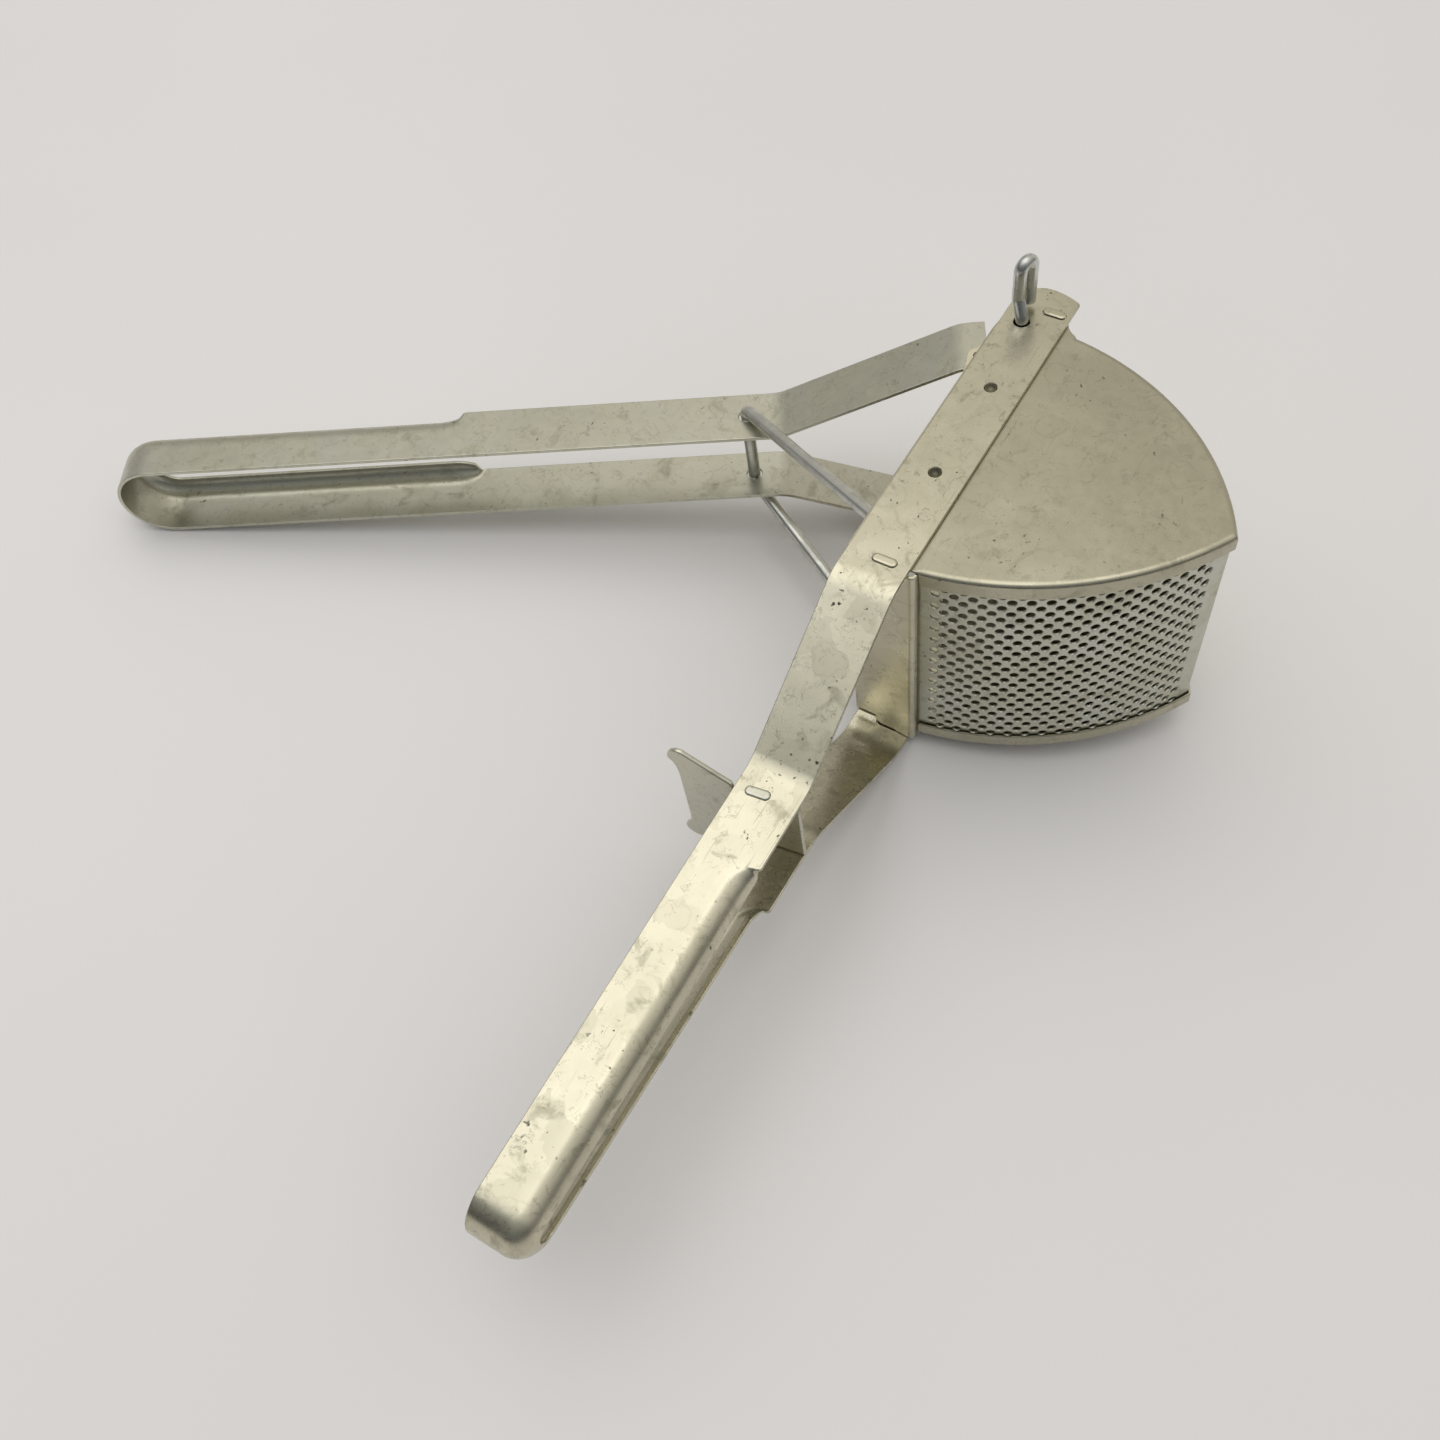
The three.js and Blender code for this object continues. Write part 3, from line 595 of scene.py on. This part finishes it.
def side_outline():
    """(point, whether the rim is turned over there) round a side plate, from the mouth's end."""
    corner = meet(SIEVE_R, BACK_R)
    points = [(Vector((SIDE_END_X, MOUTH_EDGE + 0.6)), False), (Vector((SIDE_END_X, 2)), False)]
    points += [(Vector((SIDE_END_X, 8)), False), (Vector((SIDE_END_X, 13.6)), False)]
    points += [(p, True) for p in arc((0, 0), SIEVE_R, RIM_FROM, angle_of(corner), 60)]
    points += [(p, True) for p in arc(BACK, BACK_R, angle_of(corner, BACK), TIP_BACK, 70)[1:]]
    start, end = points[-1][0], Vector((SIDE_TIP_X, 12.4))
    pull = Vector((-2.6, 14.4))
    points += [(start.lerp(pull, t).lerp(pull.lerp(end, t), t), False) for t in (0.2, 0.4, 0.6, 0.8, 1)]
    points += [(Vector((SIDE_TIP_X, y)), False) for y in (9, 5, 1, -2)]
    start, end = Vector((SIDE_TIP_X, -2.5)), Vector((4.4, MOUTH_EDGE))
    pull = Vector((-2.5, MOUTH_EDGE))
    points += [(start.lerp(pull, t).lerp(pull.lerp(end, t), t), False) for t in (0.15, 0.35, 0.55, 0.75, 1)]
    points += [(Vector((4.4 + (SIDE_END_X - 5 - 4.4) * i / 30, MOUTH_EDGE)), False) for i in range(1, 31)]
    points += [(Vector((SIDE_END_X - 0.6, MOUTH_EDGE)), False)]
    return points


def side_plate():
    outline = side_outline()
    n = len(outline)
    bend = 1.7
    rings = []
    for i, (at, rim) in enumerate(outline):
        before, after = outline[i - 1][0], outline[(i + 1) % n][0]
        first, second = (at - before).normalized(), (after - at).normalized()
        way = (first + second).normalized()
        inward = Vector((-way.y, way.x)) / max(0.5, way.dot(first))
        if rim:
            z, t = SIDE_TOP, SIDE_T
            section = [(0.22, z - RIM_DEEP), (0, z - RIM_DEEP + 0.22), (0, z - 3.6), (0, z - bend)]
            section += [(bend * (1 - math.cos(a)), z - bend * (1 - math.sin(a)))
                        for a in (math.radians(15 * k) for k in range(1, 7))]
            section += [(bend + 0.4, z), (bend + 0.4, z - t), (bend, z - t)]
            inner = bend - t
            section += [(t + inner * (1 - math.cos(a)), z - t - inner * (1 - math.sin(a)))
                        for a in (math.radians(15 * k) for k in range(5, 0, -1))]
            section += [(t, z - bend), (t, z - 3.6), (t, z - RIM_DEEP + 0.22), (t - 0.22, z - RIM_DEEP)]
        else:
            z, t, soft = SIDE_TOP, SIDE_T, 0.25
            section = [(0.05, z - t + 0.08), (0, z - t + 0.2), (0, z - t / 2), (0, z - soft)]
            section += [(soft * (1 - math.cos(a)), z - soft * (1 - math.sin(a)))
                        for a in (math.radians(15 * k) for k in range(1, 7))]
            section += [(bend + 0.4, z), (bend + 0.4, z - t), (bend, z - t)]
            section += [(soft + (bend - soft) * k / 6, z - t) for k in range(5, 0, -1)]
            section += [(soft, z - t), (0.2, z - t + 0.01), (0.14, z - t + 0.02), (0.1, z - t + 0.04)]
        rings.append([Vector((*(at + inward * d), z)) for d, z in section])
    m = len(rings[0])
    verts = [v for ring in rings for v in ring]
    faces = []
    inner_edge = 10
    for i in range(n):
        j = (i + 1) % n
        for k in range(m):
            if k == inner_edge:
                continue
            next_k = (k + 1) % m
            faces.append((i * m + k, j * m + k, j * m + next_k, i * m + next_k))
    faces.append(tuple(i * m + inner_edge for i in range(n)))
    faces.append(tuple(i * m + inner_edge + 1 for i in reversed(range(n))))
    return verts, faces


def make_side_plate(name, upper):
    part = side_plate() if upper else mirrored(side_plate())
    obj = solid(name + "_skin", part)
    tools = []
    for place, radius in [((0, 0), PIN_HOLE_R), *[(c, 1.85) for c in CLINCHES]]:
        z = SIDE_TOP if upper else -SIDE_TOP
        levels = [(z - 3, 0), (z + 3, 0)]
        tools.append(solid("tool", column(disc(place, radius), levels)))
    cut(obj, *tools)
    return finished(obj, side_tin, "frame", [name])


def curved_wall(centre, radius, start, end, thickness, half, steps, levels=1):
    """A curved sheet with softened edges, between two angles and two heights."""
    soft = 0.2
    heights = [-half + soft] + [-half + 2 * half * i / levels for i in range(1, levels)] + [half - soft]
    outer = [(0, z) for z in heights]
    inner = [(thickness, z) for z in reversed(heights)]
    section = [(soft, -half)] + outer + [(soft, half), (thickness - soft, half)] + inner
    section += [(thickness - soft, -half)]
    rings = []
    for i in range(steps + 1):
        a = start + (end - start) * i / steps
        rings.append([Vector((*polar(centre, radius - d, a), z)) for d, z in section])
    return loft(rings)


def make_back_wall():
    start = angle_of(meet(SIEVE_OUTER - WALL_T - 0.3, BACK_OUTER), BACK)
    obj = solid("back_wall_skin", curved_wall(BACK, BACK_OUTER, start, 175, WALL_T, WALL_HALF, 72))
    return finished(obj, back_tin, "frame", ["back_wall"])


def sieve():
    """The perforated wall: a grid of cells, every other one with a round hole dished inwards."""
    step = (HOLE_LAST - HOLE_FIRST) / (HOLE_COLUMNS - 1)
    first = HOLE_FIRST - 1.5 * step
    last = HOLE_LAST + 1.5 * step
    stop = angle_of(meet(SIEVE_OUTER, BACK_OUTER))
    low = -HOLE_ROWS * HOLE_PITCH / 2 - HOLE_PITCH
    top = -low
    width = math.radians(step) * SIEVE_OUTER
    collar = HOLE_R + 0.24
    sides = 4
    ring = 4 * sides
    verts, faces, index = [], [], {}

    def vertex(angle, z, depth):
        key = (round(angle, 5), round(z, 4), round(depth, 4))
        if key not in index:
            index[key] = len(verts)
            verts.append(Vector((*polar((0, 0), SIEVE_OUTER - depth, angle), z)))
        return index[key]

    def cell_point(u, v, depth):
        return vertex(first + step * u, low + HOLE_PITCH * v, depth)

    def pierced(column, row):
        return 0 < column <= HOLE_COLUMNS and 0 < row <= HOLE_ROWS and (row + column) % 2 == 1

    def rim(column, row, depth):
        """The cell's edge, `sides` steps to a side, bowed away from the centre of the cell with the hole."""
        places = []
        for k, (du, dv) in enumerate(((1, 0), (0, 1), (-1, 0), (0, -1))):
            corner_u, corner_v = column + (k in (1, 2)), row + (k in (2, 3))
            beside = (column + dv, row - du)
            hub = next((c for c in ((column, row), beside) if pierced(*c)), None)
            for i in range(sides):
                u, v = corner_u + du * i / sides, corner_v + dv * i / sides
                if hub and i:
                    x, y = (u - hub[0] - 0.5) * width, (v - hub[1] - 0.5) * HOLE_PITCH
                    grow = max(1, collar / math.hypot(x, y))
                    u, v = hub[0] + 0.5 + x * grow / width, hub[1] + 0.5 + y * grow / HOLE_PITCH
                places.append(cell_point(u, v, depth))
        return places

    def circle(column, row, radius, depth):
        places = []
        for i in range(ring):
            t = math.radians(-135 + 360 * i / ring)
            u = column + 0.5 + radius * math.cos(t) / width
            places.append(cell_point(u, row + 0.5 + radius * math.sin(t) / HOLE_PITCH, depth))
        return places

    def band(a, b):
        for i in range(ring):
            j = (i + 1) % ring
            faces.append((a[i], a[j], b[j], b[i]))

    for row in range(HOLE_ROWS + 2):
        for column in range(HOLE_COLUMNS + 2):
            outer, inner = rim(column, row, 0), rim(column, row, WALL_T)
            if not pierced(column, row):
                faces.append(tuple(outer))
                faces.append(tuple(reversed(inner)))
                continue
            dished = [(HOLE_R + 0.14, 0.0), (HOLE_R + 0.02, 0.09), (HOLE_R - 0.02, WALL_T)]
            loops = [outer, *[circle(column, row, radius, depth) for radius, depth in dished], inner]
            for a, b in zip(loops, loops[1:]):
                band(a, b)

    def strip(a0, a1, z0, z1, na, nz):
        """A plain patch on both faces, its edges split to meet the cells."""
        for i in range(na):
            for k in range(nz):
                for depth in (0, WALL_T):
                    a = [a0 + (a1 - a0) * (i + d) / na for d in (0, 1)]
                    z = [z0 + (z1 - z0) * (k + d) / nz for d in (0, 1)]
                    quad = [vertex(a[0], z[0], depth), vertex(a[1], z[0], depth)]
                    quad += [vertex(a[1], z[1], depth), vertex(a[0], z[1], depth)]
                    faces.append(tuple(quad))

    fine_a, fine_z = (HOLE_COLUMNS + 2) * sides, (HOLE_ROWS + 2) * sides
    for z0, z1 in ((-WALL_HALF, low), (top, WALL_HALF)):
        strip(first, last, z0, z1, fine_a, 1)
        strip(SIEVE_FROM, first, z0, z1, 1, 1)
        strip(last, stop, z0, z1, 3, 1)
    strip(SIEVE_FROM, first, low, top, 1, fine_z)
    strip(last, stop, low, top, 3, fine_z)
    edges = {}
    for face in faces:
        for a, b in zip(face, face[1:] + face[:1]):
            edges[frozenset((a, b))] = edges.get(frozenset((a, b)), 0) + 1
    lone = [tuple(edge) for edge, count in edges.items() if count == 1]
    depth_of = {i: key for key, i in index.items()}
    twin = {}
    for i, (angle, z, depth) in depth_of.items():
        twin[i] = index.get((angle, z, WALL_T if depth == 0 else 0))
    for a, b in lone:
        if depth_of[a][2] == 0:
            faces.append((a, b, twin[b], twin[a]))
    return verts, faces


def make_sieve():
    obj = solid("sieve_skin", sieve())
    return finished(obj, sieve_tin, "frame", ["sieve_wall"], sharp=50)


# --- Cross plates ----------------------------------------------------------------------------------


def tab(place, strap_half, root, turn=0.0):
    """The end of a plate, through the strap and hammered over into an oblong button."""
    outline = stadium(place, TAB_LONG, TAB_WIDE, turn)
    levels = [
        (strap_half - root, -0.15),
        (strap_half - 0.1, -0.15),
        (strap_half + 0.12, 0.12),
        (strap_half + 0.34, 0.16),
        (strap_half + 0.5, 0.02),
        (strap_half + 0.58, -0.25),
        (strap_half + 0.6, -0.6),
    ]
    return column(outline, levels)


def with_tabs(obj, place, strap_half, root, turn=0.0):
    part = tab(place, strap_half, root, turn)
    return fuse(obj, solid("tool", part), solid("tool", mirrored(part)))


def make_mouth_plate():
    """Fills the gap between the strap and the sieve. Its lower corner beside the lever is notched."""
    ends = [Vector((97.6, -5.9)), Vector((97.7, 5)), Vector((98.8, 12.6))]
    roll = [Vector((98.8, 12.6)), Vector((99.1, 14.4)), Vector((97.4, 14.3))]
    middle = []
    for (a, b, c), steps in ((ends, 16), (roll, 10)):
        for i in range(steps + (a is roll[0])):
            t = i / steps
            middle.append(a.lerp(b, t).lerp(b.lerp(c, t), t))
    outline = sheet_outline(middle, PLATE_T, 0.3)
    soft = 0.25
    levels = [(-CROSS_HALF, -soft), (-CROSS_HALF + soft, 0), (CROSS_HALF - soft, 0), (CROSS_HALF, -soft)]
    rings = []
    for z, grow in levels:
        thin = sheet_outline(middle, PLATE_T + 2 * grow, 0.3 + grow * 0.9)
        rings.append([Vector((p.x, p.y, z)) for p in thin])
    obj = solid("mouth_plate_skin", loft(rings))
    notch = [(90, -8), (105, -8), (105, 0.9), (90, 0.9)]
    tool = loft([[Vector((x, y, z)) for x, y in notch] for z in (-CROSS_HALF - 2, -CROSS_HALF + 3.6)])
    cut(obj, solid("tool", tool))
    part = tab(MOUTH_TAB, HALF, STRAP_T + 2.2)
    lower = mirrored(tab(MOUTH_TAB, HALF, STRAP_T + 5.5))
    fuse(obj, solid("tool", part), solid("tool", lower))
    return finished(obj, plate_tin, "frame", ["mouth_plate"])


def slab(outline, thickness, soft=0.3):
    """A flat plate across X with softened edges, from an outline of (y, z) points."""
    n = len(outline)
    rings = []
    quarter = [math.radians(a) for a in (0, 30, 60, 90)]
    corner = [(soft * (1 - math.sin(a)), soft * (1 - math.cos(a))) for a in quarter]
    profile = [(-thickness / 2 + back, inset) for back, inset in reversed(corner)]
    profile += [(thickness / 2 - back, inset) for back, inset in corner]
    for x, inset in profile:
        ring = []
        for i, at in enumerate(outline):
            first = (at - outline[i - 1]).normalized()
            second = (outline[(i + 1) % n] - at).normalized()
            way = (first + second).normalized()
            inward = Vector((-way.y, way.x)) / max(0.6, way.dot(first))
            p = at + inward * inset
            ring.append(Vector((x, p.x, p.y)))
        rings.append(ring)
    return loft(rings)


def moved(part, place, turn=0.0):
    """A part set at a place on the frame's centre line, and turned about an upright line through it."""
    to_line = Matrix.Translation((0, -place[1], 0))
    shift = Matrix.Translation((*place, 0)) @ Matrix.Rotation(turn, 4, "Z") @ to_line
    return [shift @ Vector(v) for v in part[0]], part[1]


def make_tip_plate():
    right, left = 12.2, -1.5
    corners = ((right, -CROSS_HALF), (right, CROSS_HALF), (left, CROSS_HALF), (left, -CROSS_HALF))
    outline = [Vector(p) for p in corners]
    dense = []
    for a, b in zip(outline, outline[1:] + outline[:1]):
        dense += [a.lerp(b, t) for t in (0.01, 0.25, 0.5, 0.75, 0.99)]
    obj = solid("tip_plate_skin", moved(slab(dense, PLATE_T), TIP_TAB))
    with_tabs(obj, TIP_TAB, HALF, STRAP_T + 2)
    return finished(obj, plate_tin, "frame", ["tip_plate"])


def bezier(points, steps):
    """Points on a Bezier curve, without its first."""
    made = []
    for i in range(1, steps + 1):
        level = [Vector(p) for p in points]
        while len(level) > 1:
            level = [a.lerp(b, i / steps) for a, b in zip(level, level[1:])]
        made.append(level[0])
    return made


def make_stop_plate():
    """Stands across the handle: its two horns catch the lever."""
    inside = 13.1
    left = FRAME_EDGES[0] - 0.3
    upper = [Vector((12.9, 0)), Vector((12.9, inside - 0.3)), Vector((12.6, inside)), Vector((3, inside))]
    upper += [Vector((left + 0.3, inside)), Vector((left, inside + 0.2)), Vector((left - 0.4, 15.6))]
    upper += [Vector((left - 0.4, 15.6)).lerp(Vector((-20.4, 23.9)), t) for t in (0.35, 0.7, 1)]
    upper += bezier([(-20.4, 23.9), (-23.6, 26), (-27.6, 20.6), (-24.6, 18.2)], 16)
    upper += bezier([(-24.6, 18.2), (-23.2, 16.4), (-23.2, 11)], 6)
    outline = upper + [Vector((-23.2, 0))] + [Vector((p.x, -p.y)) for p in reversed(upper[1:])]
    obj = solid("stop_plate_skin", moved(slab(outline, STOP_T, 0.5), STOP_TAB, STOP_TURN))
    with_tabs(obj, STOP_TAB, grip_half(FRAME_ARM, STOP_TAB[0]), STRAP_T + 1.6, STOP_TURN)
    return finished(obj, stop_tin, "frame", ["stop_plate"])


def lathe(profile, place, steps=32):
    """A turned form about a vertical axis, its profile from the axis round and back to it."""
    rings = []
    for i in range(steps):
        a = 2 * math.pi * i / steps
        x, y = math.cos(a), math.sin(a)
        rings.append([Vector((place[0] + r * x, place[1] + r * y, z)) for r, z in profile])
    return loft(rings, closed=True)


def make_clinch(name, place, upper):
    """A punched-through rivet: a small cup set in the strap, coloured dark as painted shade in the cup."""
    low, high = SIDE_TOP - SIDE_T + 0.1, HALF - 0.12
    profile = [(0.001, high - 1.2), (0.5, high - 1.16), (0.9, high - 0.98)]
    profile += [(1.2, high - 0.6), (1.38, high - 0.2), (1.5, high)]
    profile += [(1.64, high - 0.03), (1.7, high - 0.14), (1.7, low), (0.001, low)]
    part = lathe(profile, place)
    obj = solid(name + "_skin", part if upper else mirrored(part))
    return finished(obj, rivet_painted_shade, "frame", [name], sharp=60)


# --- Presser, bail wire and pin --------------------------------------------------------------------


def make_presser():
    """The curved plate that sweeps the hopper, with its turned-down sides and the ears on the pin."""
    turn = Matrix.Rotation(math.radians(-CLOSING), 2)
    centre = turn @ Vector(BACK)
    tip = angle_of(meet(PRESSER_TIP_R, PRESSER_OUTER), BACK) - CLOSING
    heel = angle_of(meet(7.5, PRESSER_OUTER), BACK) - CLOSING
    plate = curved_wall(centre, PRESSER_OUTER, tip, heel, PRESSER_T, PRESSER_HALF, 72)
    obj = solid("presser_skin", plate)
    chord = arc(centre, PRESSER_OUTER - PRESSER_T / 2, tip, heel, 48)
    rivet = lever_point(*LEVER_RIVET)
    ear = arc((0, 0), 5.5, 150, 250, 10)
    foot = arc((rivet.x, rivet.y), 3.4, 215, 300, 8)
    outline = chord + ear + foot + [Vector((62, 2.5)), Vector((74, 8.4))]
    rings = []
    for down, inset in ((0, 0.2), (0.2, 0), (0.7, 0), (0.9, 0.2)):
        ring = []
        for i, at in enumerate(outline):
            before, after = outline[i - 1], outline[(i + 1) % len(outline)]
            way = (after - before).normalized()
            ring.append(Vector((*(at + Vector((-way.y, way.x)) * inset), PRESSER_HALF - down)))
        rings.append(ring)
    side = loft(rings)
    knuckle = column(disc((0, 0), 3.6), [(-PRESSER_HALF + 0.2, 0), (PRESSER_HALF - 0.2, 0)])
    fuse(obj, solid("tool", side), solid("tool", mirrored(side)), solid("tool", knuckle))
    tools = [solid("tool", column(disc((0, 0), PIN_HOLE_R), [(-60, 0), (60, 0)]))]
    tools += [solid("tool", column(disc(BAIL_TIP[:2], WIRE_R + 0.3), [(-60, 0), (60, 0)]))]
    tools += [solid("tool", column(disc((rivet.x, rivet.y), 1.6), [(-60, 0), (60, 0)]))]
    cut(obj, *tools)
    return finished(obj, presser_tin, "lever", ["presser_plate"])


def lever_point(u, v, z=0.0):
    return Matrix.Rotation(LEVER_ANGLE, 4, "Z") @ Vector((u, v, z))


def wire(line, radius, around=20):
    """A round wire along a line, its cut ends slightly softened."""
    ways = tangents(line)
    side = ways[0].orthogonal().normalized()
    rings = []
    for i, (at, way) in enumerate(zip(line, ways)):
        side = (side - way * side.dot(way)).normalized()
        other = way.cross(side)
        here = [at + (side * math.cos(a) + other * math.sin(a)) * radius
                for a in (2 * math.pi * k / around for k in range(around))]
        if i in (0, len(line) - 1):
            inwards = way if i == 0 else -way
            end = [at + (p - at) * 0.82 for p in here]
            step = [p + inwards * 0.35 for p in here]
            rings += [end, step] if i == 0 else [step, end]
        else:
            rings.append(here)
    return loft(rings)


def make_bail():
    end = PRESSER_HALF + 0.1
    tip = Vector(BAIL_TIP)
    upper = [Vector((tip.x, tip.y, end)), tip, lever_point(*BAIL_CROSS)]
    lower = [Vector((p.x, p.y, -p.z)) for p in reversed(upper)]
    obj = solid("bail_wire_skin", wire(rounded(upper + lower, 3.4, 14, 2.5), WIRE_R))
    return finished(obj, bail_plating, "lever", ["bail_wire"], sharp=60)


def make_hook_pin():
    """The hinge pin: up through the hopper, over in a half circle and back down to a free end."""
    crown = HALF + HOOK_CROWN
    front, free = Vector((*HOOK_FRONT, crown)), Vector((*HOOK_FREE, crown))
    stem = [(0, 0, -HALF + 0.2), (0, 0, HALF + 1.2), (*HOOK_FRONT, HALF + 6.5), front]
    line = rounded(stem, 3.6, 14, 2.5)
    reach = (front - free).length / 2
    for i in range(1, 17):
        a = math.pi * i / 16
        line.append(front.lerp(free, (1 - math.cos(a)) / 2) + Vector((0, 0, reach * math.sin(a))))
    line += [free + Vector((0, 0, -drop)) for drop in (3, 6, 9, 12, HOOK_CROWN - 2)]
    obj = solid("hook_pin_skin", wire(line, PIN_R))
    return finished(obj, pin_plating, "pin", ["hook_pin"], sharp=60)


def make_lever_rivet(name, upper):
    place = lever_point(*LEVER_RIVET)
    inside = LEVER_ARM[0][1] - STRAP_T - 0.3
    outside = PRESSER_HALF - 0.05
    profile = [(0.001, inside - 0.8), (1.2, inside - 0.76), (2.0, inside - 0.5), (2.4, inside - 0.05)]
    profile += [(2.35, inside), (1.3, inside), (1.3, outside), (0.001, outside)]
    part = lathe(profile, (place.x, place.y))
    obj = solid(name + "_skin", part if upper else mirrored(part))
    return finished(obj, plate_tin, "lever", [name], sharp=60)


make_frame_strap()
make_lever_strap()
make_side_plate("side_plate_upper", True)
make_side_plate("side_plate_lower", False)
make_back_wall()
make_sieve()
make_mouth_plate()
make_tip_plate()
make_stop_plate()
for side, upper in (("upper", True), ("lower", False)):
    for number, place in enumerate(CLINCHES, 1):
        make_clinch(f"side_rivet_{side}_{number}", place, upper)
    make_lever_rivet(f"lever_rivet_{side}", upper)
make_presser()
make_bail()
make_hook_pin()

# --- Floor, light and camera -----------------------------------------------------------------------


def make_floor():
    """A wide pale sheet with a faint unevenness."""
    mesh = bpy.data.meshes.new("floor")
    mesh.from_pydata([(-4, -4, 0), (4, -4, 0), (4, 4, 0), (-4, 4, 0)], [], [(0, 1, 2, 3)])
    obj = bpy.data.objects.new("floor", mesh)
    obj.location.z = -0.0002
    bpy.context.scene.collection.objects.link(obj)
    paper = bpy.data.materials.new("floor_paper")
    g = Graph(paper, "Principled BSDF")
    where = g.node("ShaderNodeTexCoord").outputs["Object"]
    soft = g.noise(where, 2.5, 3.0, 0.5)
    g.wire("Base Color", g.mix(g.steps(soft, 0.3, 0.7), (0.86, 0.845, 0.845), (0.89, 0.875, 0.875)))
    g.shader.inputs["Roughness"].default_value = 0.6
    g.shader.inputs["Specular IOR Level"].default_value = 0.25
    mesh.materials.append(paper)


def area_light(name, direction, distance, size, power, colour):
    """A soft round light that looks at the ricer from a direction."""
    centre = (cad_low + cad_high) / 2
    away = Vector(direction).normalized()
    light = bpy.data.lights.new(name, "AREA")
    light.shape = "DISK"
    light.size = size
    light.energy = power
    light.color = colour
    obj = bpy.data.objects.new(name, light)
    obj.location = centre + away * distance
    obj.rotation_mode = "QUATERNION"
    obj.rotation_quaternion = away.to_track_quat("Z", "Y")
    bpy.context.scene.collection.objects.link(obj)


def make_world():
    """A room round the ricer: a pale ceiling, and dark low down but for a board behind."""
    world = bpy.data.worlds.new("room")
    bpy.context.scene.world = world
    g = Graph(world, "Background")
    way = g.node("ShaderNodeTexCoord").outputs["Generated"]
    x, y, z = g.node("ShaderNodeSeparateXYZ", {0: way}).outputs
    height = g.ramp(z, [(0.0, 0.17), (0.35, 0.31), (0.55, 0.58), (0.66, 0.68), (0.75, 0.79), (0.87, 0.95),
                        (1.0, 1.2)])
    behind = g.maths("ADD", g.maths("MULTIPLY", x, -0.89), g.maths("MULTIPLY", y, -0.456))
    board = g.maths("MULTIPLY", g.steps(behind, 0.2, 0.6, 0.0, 0.36), g.steps(z, 0.3, 0.55, 1.0, 0.0))
    from_left = g.node("ShaderNodeMapRange", {"Value": y, "From Min": -1.0, "From Max": 1.0}).outputs[0]
    left = g.ramp(from_left, [(0.12, 0.72), (0.2, 0.8), (0.24, 0.93), (0.315, 1.06), (0.36, 0.93),
                              (0.41, 0.73), (0.5, 1.05), (0.65, 1.0)])
    bright = g.maths("MULTIPLY", g.maths("ADD", height, board), left)
    from_back = g.node("ShaderNodeMapRange", {"Value": x, "From Min": -1.0, "From Max": 1.0}).outputs[0]
    tint = g.ramp(from_back, [(0.15, (1.0, 0.96, 0.87)), (0.5, (1.0, 0.985, 0.96)),
                              (0.75, (0.44, 0.46, 0.465))])
    g.wire("Color", g.mix(1.0, bright, tint, "MULTIPLY"))


def make_camera():
    """Above the frame handle's end, looking down at the hopper, and turned so that the lever lies level."""
    place = Vector((307.9, 120.6, 352.35))
    forward = Vector((-0.4002, -0.3534, -0.8455)).normalized()
    right = Vector((-0.5134, 0.8507, -0.1126))
    right = (right - forward * right.dot(forward)).normalized()
    up = right.cross(forward)
    turned = BODY.to_3x3() @ Matrix((right, up, -forward)).transposed()
    camera = bpy.data.cameras.new("camera")
    camera.sensor_width = 36
    camera.lens = 35.7
    camera.clip_start = 0.01
    obj = bpy.data.objects.new("camera", camera)
    obj.matrix_world = Matrix.Translation(BODY @ place) @ turned.normalized().to_4x4()
    bpy.context.scene.collection.objects.link(obj)
    bpy.context.scene.camera = obj


make_floor()
make_world()
area_light("skylight", (0.0, -0.3, 0.95), 1.5, 2.0, 7.0, (1.0, 0.99, 0.975))
make_camera()
bpy.context.scene.view_settings.view_transform = "Standard"
